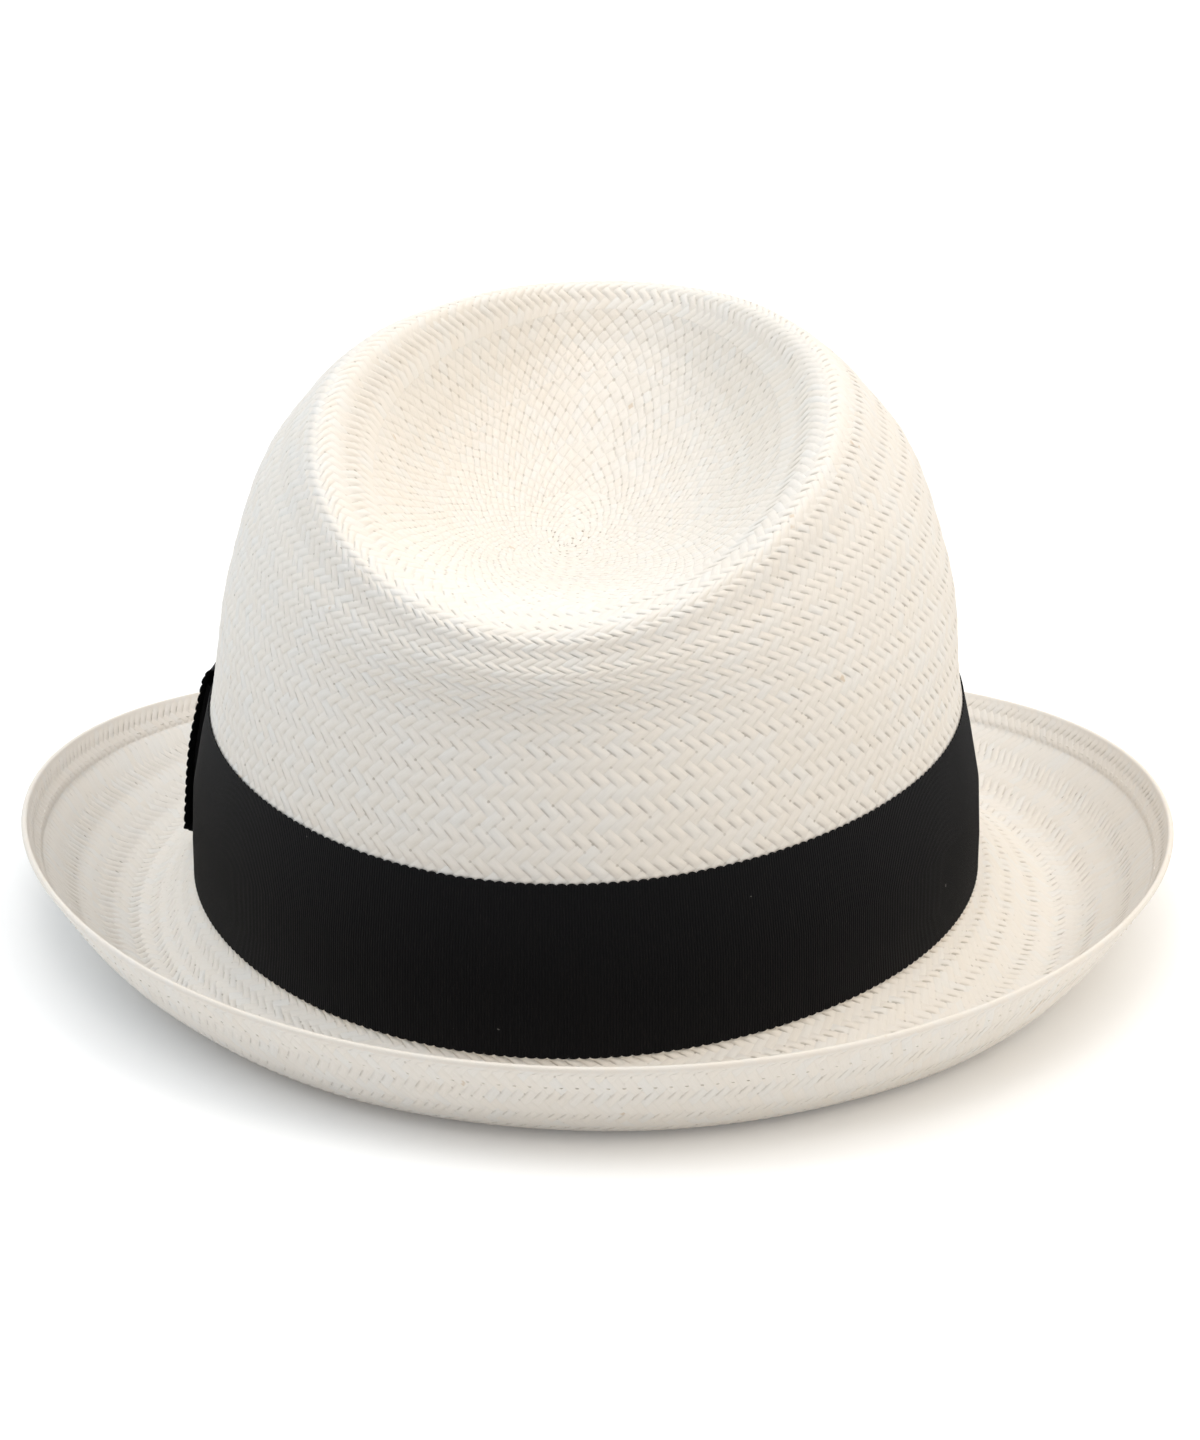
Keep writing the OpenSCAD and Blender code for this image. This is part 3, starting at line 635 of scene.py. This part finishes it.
def hood_ring(name, first, last, columns, per_row, finish, **how):
    """A ring of the hood with the weave's relief on both sides."""
    top, below = upper(first, last, per_row) + tongue(last), under(first, last, 1)
    borders = [len(top) - 2, len(top) - 1] + ([] if how.get("poles") else [len(top + below) - 1])
    ring = woven_piece(name, columns, top + below, flat_rows=borders, **how)
    return show(ring, finish, "straw", "straw_hood")


straw = straw_finish("straw_herringbone", False)
straw_fine = straw_finish("straw_plain", True)

hood_ring("straw_tip", 0, TIP_ROWS, 640, 4, straw_fine, plain=True, poles=True)
hood_ring("straw_shoulder", TIP_ROWS, WALL_ROW, 920, 5, straw)
hood_ring("straw_wall", WALL_ROW, BAND_ROW, 920, 5, straw)

top = upper(BAND_ROW, BRIM_ROW, 1) + upper(BRIM_ROW + 0.25, OUTER_ROW, 4) + tongue(OUTER_ROW)
below = under(BRIM_ROW + 0.5, OUTER_ROW, 3) + under(BAND_ROW, BRIM_ROW, 1)
inner = woven_piece("straw_brim_inner", 960, top + below,
                    flat_rows=[len(top) - 2, len(top) - 1, len(top + below) - 1])
show(inner, straw, "straw", "straw_hood")

# The outer brim: up to the hem's raw edge, over the hem, round the wire and back on the under side
TURN_IN, TURN_R = WIRE_D / 2 + WIRE_GAP + STRAW_T, WIRE_D / 2 + WIRE_GAP
LIP_R, RAW_EDGE = TURN_R + 0.22, HEM_W + 0.5
HEM_FLAT, HEM_RAW_H = HEM_W - 0.8, 0.34


def hem_top(s):
    """Height of the hem over the straw, s millimetres in from the edge: it thins from the wire inwards."""
    return HEM_RAW_H + (TURN_R + LIP_R - HEM_RAW_H) * max(0, (HEM_FLAT - s) / (HEM_FLAT - TURN_IN)) ** 1.7


hem_path = [(HEM_W + 0.12, 0.05), (HEM_W - 0.1, 0.15), (HEM_W - 0.4, 0.26)]
hem_path += [(s, hem_top(s)) for s in np.linspace(HEM_FLAT, TURN_IN + 0.4, 12)]
hem_path += [(TURN_IN - LIP_R * math.cos(f), TURN_R + LIP_R * math.sin(f))
             for f in np.radians(np.arange(90, -91, -15))]


def under_depth(s):
    """Depth of the under side, s millimetres in from the edge: the straw is thinner towards its edge."""
    return TURN_R - LIP_R - (STRAW_T + TURN_R - LIP_R) * min(1, max(0, s - 2) / 18)


hem_way = np.concatenate([[0], np.cumsum(np.hypot(*np.diff(np.array(hem_path), axis=0).T))])
UNDER_EDGE, UNDER_RELIEF = 2.6, 0.75
outer_v = v_of(OUTER_ROW)
top = [(outer_v, RAW_EDGE, q, 0.0, OUTER_ROW + (EDGE_ROW - RAW_EDGE / ROW_WALL - OUTER_ROW) * q, 1, 1.0)
       for q in np.concatenate([[0, 0.004], np.linspace(0, 1, 20)[1:]])]
lip = [(0, s, 1, d, EDGE_ROW + 0.2 + (hem_way[-1] - way) / ROW_WALL, 1,
        min(1, 0.10 + max(0, s - TURN_IN) / 4)) for (s, d), way in zip(hem_path, hem_way)]
below = [(outer_v, UNDER_EDGE, q, under_depth(UNDER_EDGE * q + (V_EDGE - outer_v) * (1 - q)),
          OUTER_ROW + (EDGE_ROW - 0.5 - OUTER_ROW) * q, -1, UNDER_RELIEF)
         for q in np.concatenate([np.linspace(1, 0, 28)[:-1], [0.002, 0]])]
outer = woven_piece("straw_brim_outer", 1200, top + lip + below, flat_rows=[len(top + lip + below) - 1])
show(outer, straw, "straw", "straw_hood")

# ---- ribbon: band and bow ----

RIB, PICOT, PICOT_DEPTH, RIB_DEPTH = 0.63, 2.2, 0.5, 0.07
LAYER = RIBBON_T + RIBBON_GAP
BOW_TRIM, BOW_BACK = 0.9, KEEPER_W / 2 - 1.5


def wall(a, h, d):
    """Points at angle a and height h up the crown's wall from the brim break, d outward from the straw."""
    a, h, d = np.broadcast_arrays(np.asarray(a, float), h, d)
    flat = over(a.ravel(), (V_BREAK - h.ravel() * WALL_RATE)[None], d.ravel()[None])
    return flat.reshape(*a.shape, 3)


def picots(s):
    """The selvedge's small round teeth: 0 in the notches between them and 1 at their tips."""
    return np.abs(np.sin(math.pi * np.asarray(s) / PICOT)) ** 0.6


def ribs(s):
    """Height of the grosgrain's ribs along the ribbon: rounded tops with narrow grooves between them."""
    return RIB_DEPTH * (np.abs(np.sin(math.pi * np.asarray(s) / RIB)) ** 0.7 - 1)


CROSS = np.array([0, 0.005, 0.015, 0.05, 0.2, 0.5, 0.8, 0.95, 0.985, 0.995, 1])


def strap(s, low, high, place, front, back, toothed=True):
    """A ribbon's closed profile, in rows, carried along it, in columns. s is the distance along it, low and
    high its two edges, and place(w, s, d) the point at width w, distance s and depth d. front and back are
    the depths of its two faces. Picots cut into both edges, and ribs into the front face. The second half of
    the rows is the back face."""
    s = np.broadcast_to(s, (len(CROSS), np.shape(s)[-1]))
    tooth = PICOT_DEPTH * (1 - picots(s)) if toothed else 0 * s
    w = (low + tooth) + (high - low - 2 * tooth) * CROSS[:, None]
    edge = np.clip(np.minimum(w - low - tooth, high - tooth - w) / 0.35, 0, 1)
    thick = (front - back) / 2
    face = front - thick * 0.7 * (1 - edge) ** 2 + (ribs(s) * edge if toothed else 0)
    rear = back + thick * 0.7 * (1 - edge) ** 2
    grid = np.concatenate([place(w, s, face), place(w, s, rear)[::-1]])
    return grid, np.concatenate([s, s[::-1]]), np.concatenate([w, w[::-1]])


def steps(first, last, per_rib=4):
    """Distances along a ribbon, a few to each rib."""
    return np.linspace(first, last, round((last - first) / RIB * per_rib) + 1)


def ribbon_strip(name, s, low, high, place, front, back, node, turned=False):
    """A ribbon with two ends."""
    grid, along, across = strap(s, low, high, place, front, back)
    piece = strip_piece(name, grid, along / RIB, across, turned)
    return show(piece, ribbon, "ribbon", node)


def along_path(x, y, s):
    """Places and outward normals at distances s along the line through points x, y."""
    way = np.concatenate([[0], np.cumsum(np.hypot(np.diff(x), np.diff(y)))])
    at = np.stack([np.interp(s, way, x), np.interp(s, way, y)], -1)
    tx = np.interp(s + 0.15, way, x) - np.interp(s - 0.15, way, x)
    ty = np.interp(s + 0.15, way, y) - np.interp(s - 0.15, way, y)
    size = np.hypot(tx, ty)
    return at, np.stack([ty, -tx], -1) / size[..., None]


def layer_d(k):
    """Depth of the bow's layer k, counted outward from the straw: the band, the keeper's back, the tail, the
    loop's two layers and the keeper's front."""
    return RIBBON_GAP + k * LAYER


def smooth(u):
    """A soft step from 0 to 1."""
    u = np.clip(u, 0, 1)
    return u * u * (3 - 2 * u)


ribbon = ribbon_finish("grosgrain")

# Distances round the band at angles forward from the middle of the keeper, measured at half its height
band_turn = np.linspace(-30, 390, 4201)
line = wall(-BOW_ANGLE - band_turn, RIBBON_W / 2, LAYER)
band_way = np.concatenate([[0], np.cumsum(np.linalg.norm(np.diff(line, axis=0), axis=1))])
band_way -= np.interp(0, band_turn, band_way)
BAND_L = float(np.interp(360, band_turn, band_way))


def on_band(w, s, d):
    """The point at height w, distance s round the band and depth d over the straw."""
    return wall(-BOW_ANGLE - np.interp(s, band_way, band_turn), w, d)


band = ribbon_strip("hat_band_ribbon", steps(0.2, BAND_L - 0.2), BAND_FOOT, RIBBON_W, on_band,
                    LAYER, RIBBON_GAP, "hat_band")

LOW, HIGH = BAND_FOOT + BOW_TRIM, RIBBON_W - BOW_TRIM
GATHER, GATHER_WAY = 3.0, 9


def gather(w, x):
    """How far a point at height w moves towards the ribbon's middle: most under the keeper, and not at all a
    little beside it."""
    pinch = 1 - smooth((np.abs(x) - KEEPER_W / 2) / GATHER_WAY)
    return GATHER * pinch * (2 * (w - LOW) / (HIGH - LOW) - 1)


def tail_end(w):
    """Distance of the tail's end at height w: a V, cut back in the middle."""
    return TAIL_L - TAIL_CUT * (1 - np.abs(2 * w - LOW - HIGH) / (HIGH - LOW))


def on_tail(w, s, d):
    """A point of the tail: its last stretch is drawn in to the V-cut end, and it lifts a little there."""
    bend = TAIL_L - TAIL_CUT - 4
    x = np.where(s > bend, bend + (s - bend) / (TAIL_L - bend) * (tail_end(w) - bend), s)
    lift = 0.5 * smooth((x - 20) / (TAIL_L - 20)) * np.clip((w - LOW) / (HIGH - LOW), 0, 1)
    return on_band(w - gather(w, x), x, d + lift)


s = steps(-BOW_BACK, TAIL_L)
tail = ribbon_strip("bow_tail_ribbon", s, LOW, HIGH, on_tail, layer_d(2) + RIBBON_T, layer_d(2), "bow_tail")

# The loop: forward on the tail, round a soft fold, and back over itself to the keeper
PUFF = 1.3
fold_r = (LAYER + PUFF) / 2
fold_x = LOOP_L - fold_r - RIBBON_T / 2
flat_x = np.linspace(-BOW_BACK, fold_x, 120)
round_f = np.radians(np.linspace(-90, 90, 24))[1:-1]
inner_y = layer_d(3) + RIBBON_T / 2
swell = (flat_x - KEEPER_W / 2) / (fold_x - KEEPER_W / 2)
outer_y = inner_y + LAYER + PUFF * smooth(swell) + 0.7 * np.sin(math.pi * np.clip(swell, 0, 1))
loop_x = np.concatenate([flat_x, fold_x + fold_r * np.cos(round_f), flat_x[::-1]])
loop_y = np.concatenate([0 * flat_x + inner_y, inner_y + fold_r + fold_r * np.sin(round_f), outer_y[::-1]])
LOOP_WAY = float(np.hypot(np.diff(loop_x), np.diff(loop_y)).sum())


def on_loop(w, s, d):
    """A point of the loop: its place on the folded path and the depth along the path's own normal."""
    at, out = along_path(loop_x, loop_y, s)
    x, y = at[..., 0] + out[..., 0] * d, at[..., 1] + out[..., 1] * d
    return on_band(w - gather(w, x), x, y)


loop = ribbon_strip("bow_loop_ribbon", steps(0.2, LOOP_WAY - 0.2), LOW, HIGH, on_loop,
                    RIBBON_T / 2, -RIBBON_T / 2, "bow_loop", turned=True)

# The keeper: a closed wrap of ribbon round the bow, tapered at its head and standing off at its foot
STAND_OFF, HEAD_TAPER, FOOT_TAPER, CURL, CURL_W = 1.3, 4.0, 1.0, 0.9, 2.6
head_h, foot_h = RIBBON_W + 0.2, BAND_FOOT + 0.3
wrap_h = head_h + (foot_h - head_h) * (1 - np.cos(np.linspace(0, math.pi, 200))) / 2
back_y = layer_d(1) + RIBBON_T / 2
full_y = layer_d(5) + RIBBON_T / 2 + STAND_OFF * ((head_h - wrap_h) / (head_h - foot_h)) ** 2.5
taper = (np.sqrt(1 - (1 - np.clip((head_h - wrap_h) / HEAD_TAPER, 0, 1)) ** 2)
         * np.sqrt(1 - (1 - np.clip((wrap_h - foot_h) / FOOT_TAPER, 0, 1)) ** 2))
front_y = back_y + 0.3 + (full_y - back_y - 0.3) * taper
keeper_x = np.concatenate([wrap_h, wrap_h[::-1], wrap_h[:1]])
keeper_y = np.concatenate([front_y, 0 * wrap_h + back_y, front_y[:1]])
KEEPER_WAY = float(np.hypot(np.diff(keeper_x), np.diff(keeper_y)).sum())


def on_keeper(w, s, d):
    """A point of the keeper: w forward from its middle, s round its wrap, d outward. Its two selvedges curl
    away from the bow."""
    s = s % KEEPER_WAY
    twice_x = np.concatenate([keeper_x[:-1], keeper_x])
    twice_y = np.concatenate([keeper_y[:-1], keeper_y])
    at, out = along_path(twice_x, twice_y, s + np.where(s < 1, KEEPER_WAY, 0))
    near_edge = np.clip((np.abs(w) - KEEPER_W / 2 + CURL_W) / CURL_W, 0, 1)
    curl = CURL * near_edge ** 2 * (at[..., 1] > back_y + 0.4)
    return on_band(at[..., 0] - out[..., 0] * d, w, at[..., 1] - out[..., 1] * d + curl)


teeth = round(KEEPER_WAY / PICOT)
points_round = teeth * 14
s = np.arange(points_round) * KEEPER_WAY / points_round
grid, along, across = strap(s * teeth * PICOT / KEEPER_WAY, -KEEPER_W / 2, KEEPER_W / 2,
                            lambda w, q, d: on_keeper(w, q * KEEPER_WAY / (teeth * PICOT), d),
                            RIBBON_T / 2, -RIBBON_T / 2)
closed = np.concatenate([along, along[:, :1] + teeth * PICOT], 1) / RIB
width = np.concatenate([across, across[:, :1]], 1)
keeper = loop_piece("bow_keeper_ribbon", grid, np.stack([closed, width], -1),
                    np.stack([closed, np.roll(width, -1, 0)], -1), turned=True)
show(keeper, ribbon, "ribbon", "bow_keeper")

# ---- sweatband, reed and stitches ----

leather = leather_finish("sweat_leather")
SWEAT_FOOT, SWEAT_SEAM = 0.5, 0.4
SWEAT_D = -(STRAW_T + SWEAT_GAP)
sweat_way = np.linspace(0, 360, 721)
sweat_line = wall(90 + sweat_way, SWEAT_W / 2, SWEAT_D - SWEAT_T)
SWEAT_L = float(np.linalg.norm(np.diff(sweat_line, axis=0), axis=1).sum())


def on_sweat(w, s, d):
    """A point of the sweatband: s runs once round from the seam at the back; its free upper edge leans in a
    little, in slow waves."""
    turned = s / SWEAT_L * 360
    free = np.clip(w / SWEAT_W, 0, 1) ** 3
    slow, quick = np.sin(np.radians(4 * turned)), np.sin(np.radians(11 * turned + 40))
    return wall(90 + turned, w, d - 0.5 * free * (1 + 0.6 * slow + 0.4 * quick))


s = np.linspace(SWEAT_SEAM / 2, SWEAT_L - SWEAT_SEAM / 2, 561)
grid, along, across = strap(s, SWEAT_FOOT, SWEAT_W, on_sweat, SWEAT_D, SWEAT_D - SWEAT_T, toothed=False)
sweat = strip_piece("sweatband_leather", grid, along, across, turned=True)
show(sweat, leather, "sweat_leather", "sweatband")

reed_a = np.arange(480) * 0.75
reed_f = np.radians(np.arange(12) * 30)[:, None]
reed_at = SWEAT_D - REED_D / 2
reed_h = SWEAT_FOOT - SWEAT_GAP - REED_D / 2
grid = wall(reed_a, reed_h - REED_D / 2 * np.cos(reed_f), reed_at + REED_D / 2 * np.sin(reed_f))
reed = loop_piece("sweatband_reed_tube", grid, turned=True)
show(reed, plain_finish("reed", (0.60, 0.55, 0.45), (0.72, 0.68, 0.58), 500.0, 0.45, 0.00004), "reed",
     "sweatband_reed")


def stitches(name, start, end, out, thick, rise, finish, slot):
    """Short threads from start (k, 3) to end (k, 3), each a six-sided tube along half a sine wave that rises
    towards out and sinks at both ends."""
    t = np.linspace(-1, 1, 5)
    run = end - start
    length = np.linalg.norm(run, axis=1, keepdims=True)
    out = out / np.linalg.norm(out, axis=1, keepdims=True)
    side = np.cross(run / length, out)
    up = np.cross(side, run / length)
    line = start[:, None] + run[:, None] * (t[:, None] + 1) / 2
    line = line + out[:, None] * (rise * np.cos(math.pi / 2 * t) - thick * t ** 8)[:, None]
    f = TAU * np.arange(6) / 6
    spoke = np.cos(f)[:, None] * side[:, None, None] + np.sin(f)[:, None] * up[:, None, None]
    size = thick / 2 * np.sqrt(1 - 0.7 * t ** 4)
    points = line[:, :, None] + size[:, None, None] * spoke
    k = np.arange(len(start))[:, None, None] * 30
    i, j = np.meshgrid(np.arange(4), np.arange(6), indexing="ij")
    j2 = (j + 1) % 6
    tube = np.stack([i * 6 + j, i * 6 + 6 + j, i * 6 + 6 + j2, i * 6 + j2], -1).reshape(-1, 4)
    caps = np.array([[0, 1, 2, 3], [0, 3, 4, 5], [24, 27, 26, 25], [24, 29, 28, 27]])
    quads = (k + np.concatenate([tube, caps])).reshape(-1, 4)
    place = np.stack(np.broadcast_arrays((t[:, None] + 1) * 1.5, np.arange(6) / 6), -1).reshape(-1, 2)
    piece = put(name, points.reshape(-1, 3), quads, [], place[quads % 30])
    return show(piece, finish, slot)


straw_thread = thread_finish("straw_thread", (0.88, 0.83, 0.76), (0.80, 0.74, 0.66))
tan_thread = thread_finish("tan_thread", (0.62, 0.52, 0.38), (0.42, 0.33, 0.22))


def ring_stitches(name, count, share, place, thick, rise, finish, slot):
    """A row of stitches round the hat: each takes up a share of its step. place(a, d) is the line that they
    follow, at angle a and depth d."""
    a = np.arange(count) * 360 / count
    start, end, out = place(a, 0.0), place(a + share * 360 / count, 0.0), place(a, 1.0)
    return stitches(name, start, end, out - start, thick, rise, finish, slot)


HEM_SEAM, HEM_STITCHES, HEM_THREAD = HEM_W - 1.4, 250, 0.26
SWEAT_STITCHES, SWEAT_THREAD, SWEAT_FACE = 150, 0.35, SWEAT_D - SWEAT_T


def on_hem(a, d):
    """The stitching line on the hem's upper side; the thread is drawn a little into the straw."""
    return over(a, edge_v(a, HEM_SEAM), hem_top(HEM_SEAM) - 0.1 + d)[0]


def under_hem(a, d):
    """The same line on the under side."""
    return over(a, edge_v(a, HEM_SEAM), under_depth(HEM_SEAM) + 0.04 - d)[0]


def on_sweat_foot(a, d):
    """The stitching line along the sweatband's foot, on its inner face."""
    return wall(a, SWEAT_FOOT + 1.6, SWEAT_FACE - d)


ring_stitches("hem_stitches_upper", HEM_STITCHES, 0.72, on_hem, HEM_THREAD, 0.05, straw_thread, "straw")
ring_stitches("hem_stitches_under", HEM_STITCHES, 0.3, under_hem, HEM_THREAD, 0.04, straw_thread, "straw")
ring_stitches("sweatband_stitches", SWEAT_STITCHES, 0.6, on_sweat_foot, SWEAT_THREAD, 0.12, tan_thread,
              "sweat_leather")
# A zigzag joins the sweatband's two ends at the back
ZIG_COUNT, ZIG_HALF = 15, 1.1
zig_h = np.linspace(2.5, SWEAT_W - 1.5, ZIG_COUNT)
zig_a = 90 + np.where(np.arange(ZIG_COUNT) % 2, 1, -1) * ZIG_HALF
left, right = wall(zig_a[:-1], zig_h[:-1], SWEAT_FACE), wall(zig_a[1:], zig_h[1:], SWEAT_FACE)
out = wall(zig_a[:-1], zig_h[:-1], SWEAT_FACE - 1.0) - left
stitches("sweatband_seam", left, right, out, SWEAT_THREAD, 0.7, tan_thread, "sweat_leather")

wire = plain_finish("drawn_wire", (0.42, 0.41, 0.38), (0.60, 0.59, 0.55), 700.0, 0.42, 0.00003)
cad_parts["brim_wire"].data.materials.clear()
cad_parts["brim_wire"].data.materials.append(wire)

# ---- stage, light and camera ----

def lamp(name, place, target, size, power, color):
    """A soft square lamp at a place, turned to its target."""
    data = bpy.data.lights.new(name, "AREA")
    data.shape, data.size, data.energy, data.color = "SQUARE", size, power, color
    obj = bpy.data.objects.new(name, data)
    scene.collection.objects.link(obj)
    obj.location = place
    obj.rotation_euler = (Vector(target) - Vector(place)).to_track_quat("-Z", "Y").to_euler()
    return obj


def white_to_the_eye(tree):
    """1 for the rays that show the ground and the sky: straight, mirrored and seen through glass."""
    rays = tree.nodes.new("ShaderNodeLightPath")
    seen = rays.outputs["Is Camera Ray"]
    for ray in ("Is Glossy Ray", "Is Transmission Ray"):
        either = tree.nodes.new("ShaderNodeMath")
        either.operation = "MAXIMUM"
        tree.links.new(seen, either.inputs[0])
        tree.links.new(rays.outputs[ray], either.inputs[1])
        seen = either.outputs[0]
    return seen


lamp("top_lamp", (-0.05, -0.35, 1.5), (0, 0, 0.05), 1.8, 18.0, (1.0, 0.978, 0.948))
lamp("near_lamp", (0.2, 0.9, 1.9), (0, 0, 0.06), 0.8, 5.2, (1.0, 0.985, 0.96))
lamp("right_lamp", (-1.25, 0.15, 1.05), (0, 0, 0.06), 1.1, 7.6, (1.0, 0.905, 0.76))
lamp("left_lamp", (1.25, 0.05, 1.15), (0, 0, 0.06), 1.1, 5.9, (0.68, 0.85, 1.0))

world = bpy.data.worlds.new("studio")
scene.world = world
world.use_nodes = True
tree = world.node_tree
back = tree.nodes["Background"]
back.inputs["Color"].default_value = (0.95, 0.97, 1.0, 1)
back.inputs["Strength"].default_value = 0.345
white = tree.nodes.new("ShaderNodeBackground")
white.inputs["Color"].default_value = (1, 1, 1, 1)
white.inputs["Strength"].default_value = 1.0
pick = tree.nodes.new("ShaderNodeMixShader")
tree.links.new(white_to_the_eye(tree), pick.inputs[0])
tree.links.new(back.outputs[0], pick.inputs[1])
tree.links.new(white.outputs[0], pick.inputs[2])
tree.links.new(pick.outputs[0], tree.nodes["World Output"].inputs["Surface"])

# A wide pale table
REACH = 6000
corners = np.array([[-1, -1, 0], [1, -1, 0], [1, 1, 0], [-1, 1, 0]]) * REACH
ground = put("table", corners, [[0, 1, 2, 3]], [])
paper = Finish("pale_table", (0.80, 0.80, 0.80), 0.9, 0.1)
paper.color(paper.mix(white_to_the_eye(paper.tree), (0.90, 0.90, 0.90, 1), (1.0, 1.0, 1.0, 1)))
paper.shader.inputs["Emission Color"].default_value = (1.0, 0.99, 0.98, 1)
# The table glows, though it is no lamp: a faint glow all over, painted light that lightens the hat's shadow
# and lights the brim from below, and, for the camera's rays only, a glow that grows away from the hat,
# so that the table fades to white far from it
away = paper.node("ShaderNodeVectorMath", {0: paper.object_place()}, operation="LENGTH").outputs["Value"]
far = paper.times(white_to_the_eye(paper.tree), paper.step(away, 0.45, 1.5))
paper.link(paper.shader.inputs["Emission Strength"], paper.add(0.06, paper.times(far, 0.9)))
ground.data.materials.append(paper.mat)


AZIMUTH, ELEVATION, ROLL = 187.21, 21.02, 1.9
LENS, SENSOR, CLIP_NEAR, CLIP_FAR = 121.875, 36, 0.05, 50
# The camera's distance, its shift to the right and upwards, and the middle that it turns on, in millimetres
CAMERA_BACK, CAMERA_RIGHT, CAMERA_UP, CAMERA_MIDDLE = 1100, 2.06, 31.82, (2, 5, 9.3)


def aim_camera():
    """The camera on its line of sight: turned about the hat by the azimuth, raised by the elevation and
    rolled about that line."""
    az, el, roll = math.radians(AZIMUTH), math.radians(ELEVATION), math.radians(ROLL)
    back = np.array([math.sin(az) * math.cos(el), -math.cos(az) * math.cos(el), math.sin(el)])
    right = np.cross(-back, [0, 0, 1.0])
    right /= np.linalg.norm(right)
    up = np.cross(right, -back)
    place = (right * CAMERA_RIGHT + up * CAMERA_UP + back * CAMERA_BACK + np.array(CAMERA_MIDDLE)) * MM
    right, up = right * math.cos(roll) + up * math.sin(roll), up * math.cos(roll) - right * math.sin(roll)
    data = bpy.data.cameras.new("camera")
    data.lens, data.sensor_width = LENS, SENSOR
    data.clip_start, data.clip_end = CLIP_NEAR, CLIP_FAR
    cam = bpy.data.objects.new("camera", data)
    scene.collection.objects.link(cam)
    pose = Matrix([list(c) for c in np.stack([right, up, back], 1)]).to_4x4()
    pose.translation = place
    cam.matrix_world = pose
    scene.camera = cam


aim_camera()
